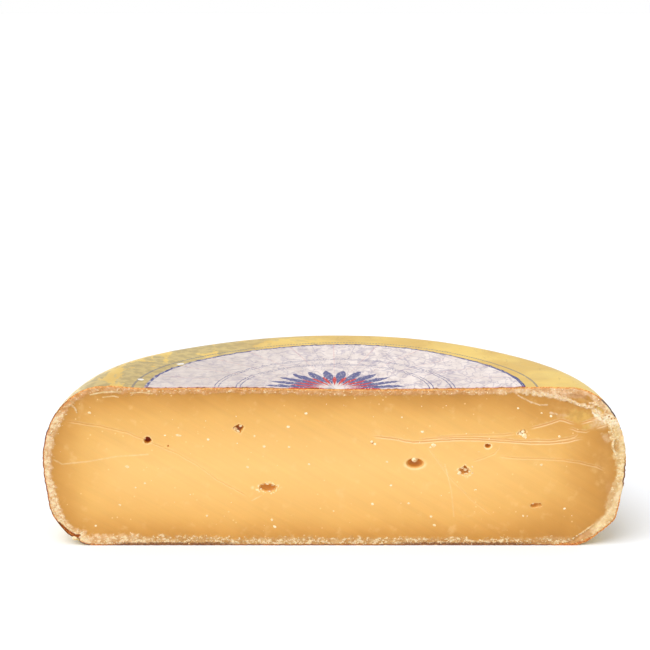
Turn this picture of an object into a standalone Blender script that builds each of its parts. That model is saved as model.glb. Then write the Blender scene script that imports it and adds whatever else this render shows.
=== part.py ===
"""Half a wheel of aged Gouda, cut straight through its middle, with a round paper label on top.

Metres, +Z up. The half wheel stands on its flat base with the cut face towards -Y. The origin is on the
ground under the middle of the bounding box, so the wheel's own axis stands at y = AXIS_Y. Shapes are worked
out in the wheel's own frame, where the cut lies at y = 0, and the objects are then placed at AXIS_Y.
"""

import math
import random

import bmesh
import bpy
from mathutils import Vector, noise

# The wheel
WHEEL_RADIUS = 0.190
WHEEL_HEIGHT = 0.107
WAIST_HEIGHT = 0.058  # level at which the wheel is widest
TOP_SHOULDER = 0.036  # how far the upper rounding reaches in from the waist
BASE_SHOULDER = 0.032
TOP_ROUNDNESS = 2.0  # exponents of the two roundings: 2 is an ellipse, more is squarer
BASE_ROUNDNESS = 2.2
AXIS_Y = -WHEEL_RADIUS / 2
TURN_STEPS = 44  # facets round the half turn
FLAT_SPACING = 0.014  # profile points along the top and the base
SHOULDER_POINTS = 12  # profile points along each rounding

# The unevenness that ageing on a shelf leaves
SIDE_SWELL = 0.0011
SIDE_FADE = 4  # power with which the side's unevenness fades towards the axis
SWELL_WAVES = ((2.0, 0.0, 0.7, 0.6), (5.0, 3.0, 2.0, 0.4))  # (waves round, shift upwards, start, share)
TOP_WAVE = 0.0008
WAVE_ALONG = (30.0, -2.33)  # radians per metre along the cut, and the angle at the axis
WAVE_BACK = (22.0, 0.9)  # the same away from the cut
# Places where the top stands higher: (rise, distance from the axis, width, direction, turn that it spans)
TOP_BUMPS = (
    (0.0022, 0.147, 0.016, math.pi, 0.55),
    (0.0007, 0.138, 0.022, 0.0, 0.45),
)
# Places where the side stands out, or in where the first value is negative:
# (distance, height above the ground, width, direction, turn that it spans)
SIDE_BUMPS = (
    (0.0017, 0.0225, 0.0085, math.pi, 0.50),
    (0.0020, 0.0190, 0.0065, 0.0, 0.45),
    (-0.0042, 0.0040, 0.0070, 0.0, 0.45),
)
SMOOTH_ANGLE = math.radians(35)

# The dry, crumbling band that runs round the cut face just inside the rind
CRAG_SPACING = 0.0036
CRAG_ROWS = (0.0011, 0.0028, 0.0050, 0.0078)  # how far each row lies in from the outline
CRAG_SPREAD = 0.15  # how far a row wanders, as a share of its distance
CRAG_PROUD = 0.0006
CRAG_DEEP = 0.0011

# Eyes in the paste: (x, z, half width, half height, depth behind the cut)
EYES = (
    (-0.1217, 0.0725, 0.0026, 0.0023, 0.0065),
    (-0.0628, 0.0803, 0.0034, 0.0024, 0.0055),
    (-0.0440, 0.0397, 0.0050, 0.0026, 0.0060),
    (0.0525, 0.0565, 0.0062, 0.0036, 0.0070),
    (0.0850, 0.0516, 0.0042, 0.0033, 0.0060),
    (0.0998, 0.0685, 0.0023, 0.0019, 0.0040),
    (0.1315, 0.0280, 0.0034, 0.0018, 0.0036),
    (0.1217, 0.0766, 0.0030, 0.0025, 0.0022),
)
EYE_CENTRE_SHARE = 0.3  # how far an eye's middle lies behind the cut, as a share of its depth
EYE_UNEVENNESS = 0.16
EYE_LUMPS = 1.7  # lumps across an eye
EYE_SHIFT = 5.0  # gives each eye lumps of its own
EYE_SIDES = 12
EYE_RINGS = 8

# Cracks in the cut face, as (x, z) routes, and their size
LONG_CRACK = (
    (0.0204, 0.0746),
    (0.0432, 0.0732),
    (0.0532, 0.0706),
    (0.0632, 0.0721),
    (0.0860, 0.0742),
    (0.1050, 0.0734),
    (0.1320, 0.0712),
    (0.1510, 0.0731),
    (0.1580, 0.0776),
    (0.1507, 0.0806),
)
UPPER_CRACK = (
    (0.0935, 0.0753),
    (0.1179, 0.0765),
    (0.1259, 0.0801),
    (0.1373, 0.0826),
    (0.1448, 0.0860),
    (0.1559, 0.0835),
)
LOWER_CRACK = (
    (0.1072, 0.0606),
    (0.1379, 0.0597),
    (0.1515, 0.0582),
    (0.1659, 0.0557),
    (0.1776, 0.0516),
)
CRACK_HALF_WIDTH = 0.00045
CRACK_DEPTH = 0.0013
CRACK_END = 0.45  # width at its ends, as a share

# The label
LABEL_RADIUS = 0.1232
LABEL_THICKNESS = 0.0004
LABEL_LIFT = 0.0003  # clear of the rind, so that the two solids never touch
LABEL_STEPS = 90
LABEL_RINGS = 8
LABEL_CHIPS = ((2.60, 0.0024),)  # (direction in radians, depth) of each chip in its edge
CHIP_TURN = 0.03

CHEESE_COLOUR = (0.90, 0.58, 0.21)
LABEL_COLOUR = (0.72, 0.68, 0.70)

SEED = 7
WELD = 0.00001


def clear_scene():
    """Empties the scene."""
    for obj in list(bpy.data.objects):
        bpy.data.objects.remove(obj, do_unlink=True)


def new_collection(name):
    """A collection linked to the scene."""
    collection = bpy.data.collections.new(name)
    bpy.context.scene.collection.children.link(collection)
    return collection


def new_material(name, colour, roughness):
    """A plain Principled material."""
    material = bpy.data.materials.new(name)
    material.use_nodes = True
    shader = material.node_tree.nodes["Principled BSDF"]
    shader.inputs["Base Color"].default_value = (*colour, 1.0)
    shader.inputs["Roughness"].default_value = roughness
    shader.inputs["Metallic"].default_value = 0.0
    return material


def add_object(name, mesh, collection):
    """A mesh object in a collection, placed at the wheel's axis."""
    obj = bpy.data.objects.new(name, mesh)
    obj.location = (0.0, AXIS_Y, 0.0)
    collection.objects.link(obj)
    return obj


def evaluated_mesh(obj, name):
    """A plain mesh of an object with its modifiers or its bevel worked in. The object is removed."""
    bpy.context.view_layer.update()
    graph = bpy.context.evaluated_depsgraph_get()
    mesh = bpy.data.meshes.new_from_object(obj.evaluated_get(graph))
    mesh.name = name
    bpy.data.objects.remove(obj, do_unlink=True)
    return mesh


def shoulder(share, reach, drop, roundness):
    """A point of a rounding, from its flat end (share 0) to its waist (share 1), as (r, height off it)."""
    turn = share * math.pi / 2
    out = math.sin(turn) ** (2 / roundness)
    up = math.cos(turn) ** (2 / roundness)
    return WHEEL_RADIUS - reach + reach * out, drop * up


def wheel_profile():
    """Half of the wheel's cross-section as (r, z), from the axis over the top, down the side, to the axis."""
    top_flat = WHEEL_RADIUS - TOP_SHOULDER
    base_flat = WHEEL_RADIUS - BASE_SHOULDER
    top_count = round(top_flat / FLAT_SPACING)
    base_count = round(base_flat / FLAT_SPACING)
    points = [(top_flat * i / top_count, WHEEL_HEIGHT) for i in range(top_count)]
    for i in range(SHOULDER_POINTS + 1):
        r, up = shoulder(i / SHOULDER_POINTS, TOP_SHOULDER, WHEEL_HEIGHT - WAIST_HEIGHT, TOP_ROUNDNESS)
        points.append((r, WAIST_HEIGHT + up))
    for i in range(SHOULDER_POINTS - 1, -1, -1):
        r, down = shoulder(i / SHOULDER_POINTS, BASE_SHOULDER, WAIST_HEIGHT, BASE_ROUNDNESS)
        points.append((r, WAIST_HEIGHT - down))
    points += [(base_flat * i / base_count, 0.0) for i in range(base_count - 1, -1, -1)]
    return points


def half_turned(name, profile, steps, collection):
    """The mesh of a profile turned through half a turn about Z, open at the cut plane y = 0."""
    mesh = bpy.data.meshes.new(name)
    edges = [(i, i + 1) for i in range(len(profile) - 1)]
    mesh.from_pydata([(r, 0.0, z) for r, z in profile], edges, [])
    obj = bpy.data.objects.new(name, mesh)
    collection.objects.link(obj)
    screw = obj.modifiers.new("half_turn", "SCREW")
    screw.axis = "Z"
    screw.angle = math.pi
    screw.steps = steps
    screw.render_steps = steps
    screw.use_merge_vertices = True
    screw.merge_threshold = WELD
    return evaluated_mesh(obj, name)


def bumps(rows, place, turn):
    """How far bell-shaped bumps move a point that lies at a place and in a direction."""
    return sum(
        size * math.exp(-(((place - at) / width) ** 2) - ((turn - direction) / span) ** 2)
        for size, at, width, direction, span in rows
    )


def settled(point):
    """A point of the wheel's surface, moved to where ageing has left it. The base stays flat."""
    x, y, z = point
    radius = math.hypot(x, y)
    turn = math.atan2(y, x)
    level = z / WHEEL_HEIGHT
    swell = sum(
        share * math.sin(waves * turn + shift * level + start)
        for waves, shift, start, share in SWELL_WAVES
    )
    out = SIDE_SWELL * math.sin(math.pi * level) * swell + bumps(SIDE_BUMPS, z, turn)
    out *= (radius / WHEEL_RADIUS) ** SIDE_FADE
    along, along_start = WAVE_ALONG
    back, back_start = WAVE_BACK
    wave = math.sin(along * x + along_start) * math.cos(back * y + back_start)
    up = level * level * (TOP_WAVE * wave + bumps(TOP_BUMPS, radius, turn))
    stretch = (radius + out) / radius if radius > WELD else 1.0
    return Vector((x * stretch, y * stretch, z + up))


def rim_loop(bm):
    """The vertices of the open cut side in order, anticlockwise as seen from -Y."""
    start = next(edge for edge in bm.edges if edge.is_boundary)
    loop = [start.verts[0], start.verts[1]]
    while True:
        last, before = loop[-1], loop[-2]
        onward = next(e for e in last.link_edges if e.is_boundary and before not in e.verts)
        following = onward.other_vert(last)
        if following is loop[0]:
            break
        loop.append(following)
    twice_area = sum(
        a.co.x * b.co.z - b.co.x * a.co.z for a, b in zip(loop, loop[1:] + loop[:1], strict=True)
    )
    return loop if twice_area > 0 else loop[::-1]


def split_rim(bm):
    """Splits the cut side's long edges, so that crags can follow the whole outline."""
    for edge in [e for e in bm.edges if e.is_boundary]:
        cuts = math.ceil(edge.calc_length() / CRAG_SPACING) - 1
        if cuts:
            bmesh.ops.subdivide_edges(bm, edges=[edge], cuts=cuts)


def inward(loop, index):
    """The unit direction in the cut plane that points into the paste from one vertex of the loop."""
    along = loop[(index + 1) % len(loop)].co - loop[index - 1].co
    return Vector((-along.z, 0.0, along.x)).normalized()


def close_cut_side(bm, rng):
    """Closes the cut side with rows of crags inside the rind, and one flat face of paste within them."""
    split_rim(bm)
    outer = rim_loop(bm)
    directions = [inward(outer, i) for i in range(len(outer))]
    starts = [vert.co.copy() for vert in outer]
    for row, inset in enumerate(CRAG_ROWS):
        flat = row == len(CRAG_ROWS) - 1
        inner = []
        for start, direction in zip(starts, directions, strict=True):
            place = start + direction * inset * rng.uniform(1 - CRAG_SPREAD, 1 + CRAG_SPREAD)
            place.y = 0.0 if flat else rng.uniform(-CRAG_PROUD, CRAG_DEEP)
            inner.append(bm.verts.new(place))
        count = len(outer)
        for i in range(count):
            j = (i + 1) % count
            bm.faces.new((outer[i], outer[j], inner[j], inner[i]))
        outer = inner
    bm.faces.new(outer)


def cheese_body(collection):
    """The half wheel before its eyes and cracks are cut."""
    rng = random.Random(SEED)
    mesh = half_turned("cheese", wheel_profile(), TURN_STEPS, collection)
    bm = bmesh.new()
    bm.from_mesh(mesh)
    for vert in bm.verts:
        if abs(vert.co.y) < WELD:
            vert.co.y = 0.0
        vert.co = settled(vert.co)
    close_cut_side(bm, rng)
    bmesh.ops.recalc_face_normals(bm, faces=bm.faces)
    bmesh.ops.triangulate(bm, faces=bm.faces)
    bm.to_mesh(mesh)
    bm.free()
    mesh.shade_smooth()
    mesh.set_sharp_from_angle(angle=SMOOTH_ANGLE)
    return add_object("cheese", mesh, collection)


def add_cutter(name, mesh, cutters):
    """A hidden object that the cheese is cut with."""
    cutter = add_object(name, mesh, cutters)
    cutter.display_type = "WIRE"
    cutter.hide_render = True
    return cutter


def eye_cutter(index, eye, cutters):
    """An uneven ball whose front pokes out of the cut face, leaving a rounded hollow behind it."""
    x, z, half_width, half_height, depth = eye
    mesh = bpy.data.meshes.new(f"eye_{index}")
    bm = bmesh.new()
    bmesh.ops.create_uvsphere(bm, u_segments=EYE_SIDES, v_segments=EYE_RINGS, radius=1.0)
    reach = depth / (1 + EYE_CENTRE_SHARE)
    for vert in bm.verts:
        spot = vert.co * EYE_LUMPS + Vector((index * EYE_SHIFT, 0.0, 0.0))
        vert.co *= 1 + EYE_UNEVENNESS * noise.noise(spot)
        vert.co = Vector((vert.co.x * half_width, vert.co.y * reach, vert.co.z * half_height))
        vert.co += Vector((x, reach * EYE_CENTRE_SHARE, z))
    bmesh.ops.recalc_face_normals(bm, faces=bm.faces)
    bm.to_mesh(mesh)
    bm.free()
    return add_cutter(f"eye_{index}", mesh, cutters)


def crack_cutter(name, route, cutters):
    """A thin tube along a route on the cut face, deeper than it is wide and tapering to its ends."""
    curve = bpy.data.curves.new(name, "CURVE")
    curve.dimensions = "3D"
    curve.bevel_depth = CRACK_HALF_WIDTH
    curve.bevel_resolution = 1
    curve.use_fill_caps = True
    spline = curve.splines.new("POLY")
    spline.points.add(len(route) - 1)
    for i, (x, z) in enumerate(route):
        spline.points[i].co = (x, 0.0, z, 1.0)
        spline.points[i].radius = CRACK_END if i in (0, len(route) - 1) else 1.0
    obj = bpy.data.objects.new(name, curve)
    cutters.objects.link(obj)
    mesh = evaluated_mesh(obj, name)
    bpy.data.curves.remove(curve)
    bm = bmesh.new()
    bm.from_mesh(mesh)
    bmesh.ops.remove_doubles(bm, verts=bm.verts, dist=WELD)
    for vert in bm.verts:
        vert.co.y *= CRACK_DEPTH / CRACK_HALF_WIDTH
    bmesh.ops.recalc_face_normals(bm, faces=bm.faces)
    bm.to_mesh(mesh)
    bm.free()
    return add_cutter(name, mesh, cutters)


def cut_cheese(cheese, cutters):
    """Cuts the eyes and the cracks out of the cheese."""
    for index, eye in enumerate(EYES):
        eye_cutter(index, eye, cutters)
    crack_cutter("long_crack", LONG_CRACK, cutters)
    crack_cutter("upper_crack", UPPER_CRACK, cutters)
    crack_cutter("lower_crack", LOWER_CRACK, cutters)
    boolean = cheese.modifiers.new("eyes_and_cracks", "BOOLEAN")
    boolean.operation = "DIFFERENCE"
    boolean.operand_type = "COLLECTION"
    boolean.collection = cutters
    boolean.solver = "EXACT"


def label_edge(turn):
    """How far the label's edge falls short of its full radius in a direction, where it is chipped."""
    return sum(
        depth * math.exp(-(((turn - at) / CHIP_TURN) ** 2)) for at, depth in LABEL_CHIPS
    )


def paper_label(collection):
    """The half-round label, lying on the uneven top with its straight edge in the cut plane."""
    profile = [(LABEL_RADIUS * i / LABEL_RINGS, WHEEL_HEIGHT) for i in range(LABEL_RINGS + 1)]
    mesh = half_turned("label", profile, LABEL_STEPS, collection)
    bm = bmesh.new()
    bm.from_mesh(mesh)
    for vert in bm.verts:
        radius = math.hypot(vert.co.x, vert.co.y)
        if radius > LABEL_RADIUS - WELD:
            share = 1 - label_edge(math.atan2(vert.co.y, vert.co.x)) / LABEL_RADIUS
            vert.co.x *= share
            vert.co.y *= share
        if abs(vert.co.y) < WELD:
            vert.co.y = 0.0
        vert.co = settled(vert.co) + Vector((0.0, 0.0, LABEL_LIFT))
    bmesh.ops.recalc_face_normals(bm, faces=bm.faces)
    if sum(face.normal.z for face in bm.faces) < 0:
        bmesh.ops.reverse_faces(bm, faces=bm.faces)
    bm.to_mesh(mesh)
    bm.free()
    label = add_object("label", mesh, collection)
    thickness = label.modifiers.new("thickness", "SOLIDIFY")
    thickness.thickness = LABEL_THICKNESS
    thickness.offset = 1.0
    return label


def main():
    """Builds the half wheel and its label."""
    clear_scene()
    gouda = new_collection("aged_gouda")
    cutters = new_collection("cutters")
    cheese = cheese_body(gouda)
    cut_cheese(cheese, cutters)
    cheese.data.materials.append(new_material("cheese", CHEESE_COLOUR, roughness=0.55))
    label = paper_label(gouda)
    label.data.materials.append(new_material("label", LABEL_COLOUR, roughness=0.6))


main()
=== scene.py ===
"""The looks of a half wheel of aged gouda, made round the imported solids.

The wheel is one closed mesh: a rind that a half turn of the wheel's profile gives, and a cut face with
its eyes, cracks and crumbling edge as relief. The paper label, the crystals and the crumbs are pieces of
their own. All sizes are in metres unless a name says otherwise.
"""

import logging
import math
from collections.abc import Iterable, Sequence
from dataclasses import dataclass
from enum import Enum
from functools import reduce

import bmesh
import bpy
import numpy as np
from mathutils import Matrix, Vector, noise
from mathutils.geometry import delaunay_2d_cdt
from mathutils.kdtree import KDTree


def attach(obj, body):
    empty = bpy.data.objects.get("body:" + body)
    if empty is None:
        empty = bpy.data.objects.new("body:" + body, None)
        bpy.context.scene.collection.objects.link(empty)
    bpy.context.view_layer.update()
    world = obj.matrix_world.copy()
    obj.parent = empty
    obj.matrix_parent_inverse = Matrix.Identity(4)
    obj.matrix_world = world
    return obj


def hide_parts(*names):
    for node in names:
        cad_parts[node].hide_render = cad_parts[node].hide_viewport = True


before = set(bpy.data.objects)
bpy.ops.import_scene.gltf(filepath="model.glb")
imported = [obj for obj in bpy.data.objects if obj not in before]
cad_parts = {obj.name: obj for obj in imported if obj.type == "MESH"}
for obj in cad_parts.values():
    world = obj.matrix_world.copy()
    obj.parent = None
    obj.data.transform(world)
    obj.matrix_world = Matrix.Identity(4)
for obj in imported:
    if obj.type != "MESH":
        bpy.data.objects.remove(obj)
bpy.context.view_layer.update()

LOG = logging.getLogger("gouda")
BODY = "root"
AXIS_Y = -0.095
MM = 0.001
WELD = 0.00001
SHARP_ANGLE = math.radians(42.0)
Colour = tuple[float, float, float, float]
Span = tuple[float, float]
Tones = tuple[Colour, Colour]
Socket = bpy.types.NodeSocket
Material = bpy.types.Material
Piece = bpy.types.Object
Array = np.ndarray


class Mark(Enum):
    """The numbers that each point of the wheel carries for its material."""

    RIM = "rim"
    CRUST = "crust"
    AMBER = "amber"
    OLIVE = "olive"
    PINK = "pink"
    PALE = "pale"
    PIT = "pit"
    CRACK = "crack"
    LIP = "lip"
    COAT = "coat"


def paint(red: int, green: int, blue: int) -> Colour:
    """Turns a colour as a screen shows it into the linear one that shaders take.

    Args:
        red: red from 0 to 255.
        green: green from 0 to 255.
        blue: blue from 0 to 255.

    Returns:
        The linear colour with full opacity.
    """
    linear = []
    for level in (red, green, blue):
        share = level / 255.0
        linear.append(share / 12.92 if share <= 0.04045 else ((share + 0.055) / 1.055) ** 2.4)
    return (linear[0], linear[1], linear[2], 1.0)


def fade(value: Array | float, start: float, end: float) -> Array | float:
    """Rises smoothly from 0 at start to 1 at end."""
    share = np.clip((value - start) / (end - start), 0.0, 1.0)
    return share * share * (3.0 - 2.0 * share)


def rough(x: float, z: float, grain: float, layer: float, octaves: int = 3) -> float:
    """A smooth random height at a point of the cut, from about -0.8 to 0.8, one pattern for each layer."""
    return noise.fractal(Vector((x / grain, layer, z / grain)), 1.0, 2.0, octaves)


class Formula:
    """A number that math nodes work out, so that a rule of nodes reads like arithmetic."""

    def __init__(self, tree: bpy.types.NodeTree, socket: Socket) -> None:
        """Keeps the tree and the socket that carries the number."""
        self.tree = tree
        self.socket = socket

    def worked(self, operation: str, *others: "Formula | float", swapped: bool = False) -> "Formula":
        """Adds one math node.

        Args:
            operation: the node's operation.
            others: the other numbers that it takes.
            swapped: whether this number comes after the others.

        Returns:
            The node's result.
        """
        node = self.tree.nodes.new("ShaderNodeMath")
        node.operation = operation
        values = (*others, self) if swapped else (self, *others)
        for place, value in enumerate(values):
            wire(self.tree, value, node.inputs[place])
        return Formula(self.tree, node.outputs[0])

    def __add__(self, other: "Formula | float") -> "Formula":
        """Adds."""
        return self.worked("ADD", other)

    __radd__ = __add__

    def __sub__(self, other: "Formula | float") -> "Formula":
        """Takes the other away."""
        return self.worked("SUBTRACT", other)

    def __rsub__(self, other: float) -> "Formula":
        """Is taken away from a plain number."""
        return self.worked("SUBTRACT", other, swapped=True)

    def __mul__(self, other: "Formula | float") -> "Formula":
        """Multiplies."""
        return self.worked("MULTIPLY", other)

    __rmul__ = __mul__

    def __truediv__(self, other: "Formula | float") -> "Formula":
        """Divides by the other."""
        return self.worked("DIVIDE", other)

    def __pow__(self, other: "Formula | float") -> "Formula":
        """Raises to a power."""
        return self.worked("POWER", other)

    def sine(self) -> "Formula":
        """The sine of an angle."""
        return self.worked("SINE")

    def cosine(self) -> "Formula":
        """The cosine of an angle."""
        return self.worked("COSINE")

    def size(self) -> "Formula":
        """The number without its sign."""
        return self.worked("ABSOLUTE")

    def fraction(self) -> "Formula":
        """What is left past the whole number below."""
        return self.worked("FRACT")

    def root(self) -> "Formula":
        """The square root."""
        return self.worked("SQRT")

    def grown(self) -> "Formula":
        """The number e raised to this one."""
        return self.worked("EXPONENT")

    def least(self, other: "Formula | float") -> "Formula":
        """The smaller of two numbers."""
        return self.worked("MINIMUM", other)

    def most(self, other: "Formula | float") -> "Formula":
        """The larger of two numbers."""
        return self.worked("MAXIMUM", other)

    def kept(self) -> "Formula":
        """The number held between 0 and 1."""
        return self.least(1.0).most(0.0)

    def faded(self, start: float, end: float) -> "Formula":
        """Rises smoothly from 0 to 1.

        Args:
            start: the value at which the result leaves 0.
            end: the value at which it reaches 1.

        Returns:
            The height of the curve, from 0 to 1.
        """
        flipped = start > end
        node = self.tree.nodes.new("ShaderNodeMapRange")
        node.interpolation_type = "SMOOTHSTEP"
        wire(self.tree, self, node.inputs[0])
        node.inputs[1].default_value = min(start, end)
        node.inputs[2].default_value = max(start, end)
        node.inputs[3].default_value = 1.0 if flipped else 0.0
        node.inputs[4].default_value = 0.0 if flipped else 1.0
        return Formula(self.tree, node.outputs[0])

    def between(self, rise: Span, fall: Span) -> "Formula":
        """1 between two places and 0 elsewhere, with a soft rise and a soft fall."""
        return self.faded(*rise) * self.faded(*fall)


def wire(tree: bpy.types.NodeTree, value: object, socket: Socket) -> None:
    """Links a value into a socket, or sets it there if it is plain.

    Args:
        tree: the tree that holds the socket.
        value: a Formula, a socket, or a plain number, colour, vector or material.
        socket: where it goes.
    """
    if isinstance(value, Formula):
        tree.links.new(value.socket, socket)
    elif isinstance(value, Socket):
        tree.links.new(value, socket)
    else:
        socket.default_value = value


class Desk:
    """Adds nodes to one tree and wires them."""

    def __init__(self, tree: bpy.types.NodeTree) -> None:
        """Keeps the tree."""
        self.tree = tree

    def add(
        self, kind: str, inputs: dict[str | int, object] | None = None, **settings: object
    ) -> bpy.types.Node:
        """Adds a node.

        Args:
            kind: the node's type name.
            inputs: what goes into its sockets, by name or number.
            settings: its other properties.

        Returns:
            The node.
        """
        node = self.tree.nodes.new(kind)
        for name, value in settings.items():
            setattr(node, name, value)
        for place, value in (inputs or {}).items():
            wire(self.tree, value, node.inputs[place])
        return node

    def parts(self, vector: Socket) -> tuple[Formula, Formula, Formula]:
        """Takes a vector apart into its three numbers."""
        node = self.add("ShaderNodeSeparateXYZ", {0: vector})
        return tuple(Formula(self.tree, socket) for socket in node.outputs)

    def joined(self, x: Formula | float, y: Formula | float, z: Formula | float) -> Socket:
        """Puts three numbers together into a vector."""
        return self.add("ShaderNodeCombineXYZ", {0: x, 1: y, 2: z}).outputs[0]

    def cloud(
        self,
        vector: object,
        grain: float,
        detail: float = 3.0,
        roughness: float = 0.55,
        bend: float = 0.0,
        stretch: tuple[float, float, float] | None = None,
        tilt: float = 0.0,
    ) -> Formula:
        """Adds a noise pattern.

        Args:
            vector: its coordinates.
            grain: size of its largest spots.
            detail: how many finer patterns are added.
            roughness: how strong those are.
            bend: how far the pattern is bent by itself.
            stretch: how many times finer it is along each axis, if it isn't alike.
            tilt: how far it is turned about the Y axis, in radians.

        Returns:
            A number round 0.5.
        """
        if tilt:
            inputs = {"Vector": vector, "Angle": tilt}
            vector = self.add("ShaderNodeVectorRotate", inputs, rotation_type="Y_AXIS").outputs[0]
        if stretch:
            inputs = {0: vector, 1: stretch}
            vector = self.add("ShaderNodeVectorMath", inputs, operation="MULTIPLY").outputs[0]
        inputs = {"Vector": vector, "Scale": 1.0 / grain}
        inputs |= {"Detail": detail, "Roughness": roughness, "Distortion": bend}
        return Formula(self.tree, self.add("ShaderNodeTexNoise", inputs).outputs[0])

    def cells(self, vector: Socket, grain: float) -> Formula:
        """The distance from the middle of each cell of a cell pattern."""
        node = self.add("ShaderNodeTexVoronoi", {"Vector": vector, "Scale": 1.0 / grain})
        return Formula(self.tree, node.outputs["Distance"])

    def mixed(self, share: Formula, first: object, second: object) -> Socket:
        """Mixes two colours: the share says how much of the second there is."""
        return self.add("ShaderNodeMix", {0: share, 6: first, 7: second}, data_type="RGBA").outputs[2]

    def shaded(self, colour: Socket, level: Formula) -> Socket:
        """Multiplies a colour by a number."""
        scaled = self.add("ShaderNodeVectorMath", {0: colour, "Scale": level}, operation="SCALE")
        return scaled.outputs[0]

    def ramp(self, value: Formula, stops: Sequence[tuple[float, Colour]]) -> Socket:
        """Gives a colour for a number.

        Args:
            value: the number, from 0 to 1.
            stops: the places of the colours and the colours, in order.

        Returns:
            The colour.
        """
        node = self.add("ShaderNodeValToRGB", {0: value})
        elements = node.color_ramp.elements
        for place, _ in stops[2:]:
            elements.new(place)
        for element, (place, colour) in zip(elements, stops, strict=True):
            element.position = place
            element.color = colour
        return node.outputs[0]


class ShaderDesk(Desk):
    """The desk of one material: it knows the places of the piece and holds the colour laid on so far."""

    def __init__(self, name: str) -> None:
        """Makes the material with a bare surface shader.

        Args:
            name: the material's name.
        """
        self.material = bpy.data.materials.new(name)
        self.material.use_nodes = True
        super().__init__(self.material.node_tree)
        self.tree.nodes.clear()
        self.surface = self.add("ShaderNodeBsdfPrincipled")
        output = self.add("ShaderNodeOutputMaterial")
        self.tree.links.new(self.surface.outputs[0], output.inputs["Surface"])
        self.place = self.add("ShaderNodeTexCoord").outputs["Object"]
        self.x, self.y, self.z = self.parts(self.place)
        self.colour: object = None

    def attribute(self, name: str) -> Formula:
        """A number that the mesh carries."""
        return Formula(self.tree, self.add("ShaderNodeAttribute", attribute_name=name).outputs["Fac"])

    def carried(self, mark: Mark) -> Formula:
        """How strong a mark is on the mesh."""
        return self.attribute(mark.value)

    def spots(self, grain: float, *finer: float, **shape: object) -> Formula:
        """A noise pattern that is fixed to the piece; the rest is as for a cloud."""
        return self.cloud(self.place, grain, *finer, **shape)

    def polar(self) -> tuple[Formula, Formula]:
        """The distance from the wheel's upright axis, and the angle round it in half turns."""
        back = self.y - AXIS_Y
        return (self.x * self.x + back * back).root(), back.worked("ARCTAN2", self.x) / math.pi

    def over(self, share: Formula, colour: object) -> None:
        """Lays a colour over what is there, as far as the share goes."""
        self.colour = self.mixed(share, self.colour, colour)

    def dress(
        self,
        roughness: Formula,
        height: Formula,
        bump: float,
        reach: float,
        others: dict[str, object] | None = None,
    ) -> Material:
        """Gives the surface its colour, its roughness and its fine bumps.

        Args:
            roughness: the roughness.
            height: the height of the bumps, from 0 to 1.
            bump: how strong they are.
            reach: how high they are.
            others: values of the shader's other sockets, by name.

        Returns:
            The material.
        """
        node = self.add("ShaderNodeBump", {"Height": height, "Strength": bump, "Distance": reach})
        sockets = {"Base Color": self.colour, "Roughness": roughness, "Normal": node.outputs[0]}
        for name, value in (sockets | (others or {})).items():
            wire(self.tree, value, self.surface.inputs[name])
        return self.material


def shown(name: str, data: bpy.types.ID) -> Piece:
    """Adds an object to the scene.

    Args:
        name: its name.
        data: its mesh, light or camera.

    Returns:
        The object.
    """
    thing = bpy.data.objects.new(name, data)
    bpy.context.scene.collection.objects.link(thing)
    return thing


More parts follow.
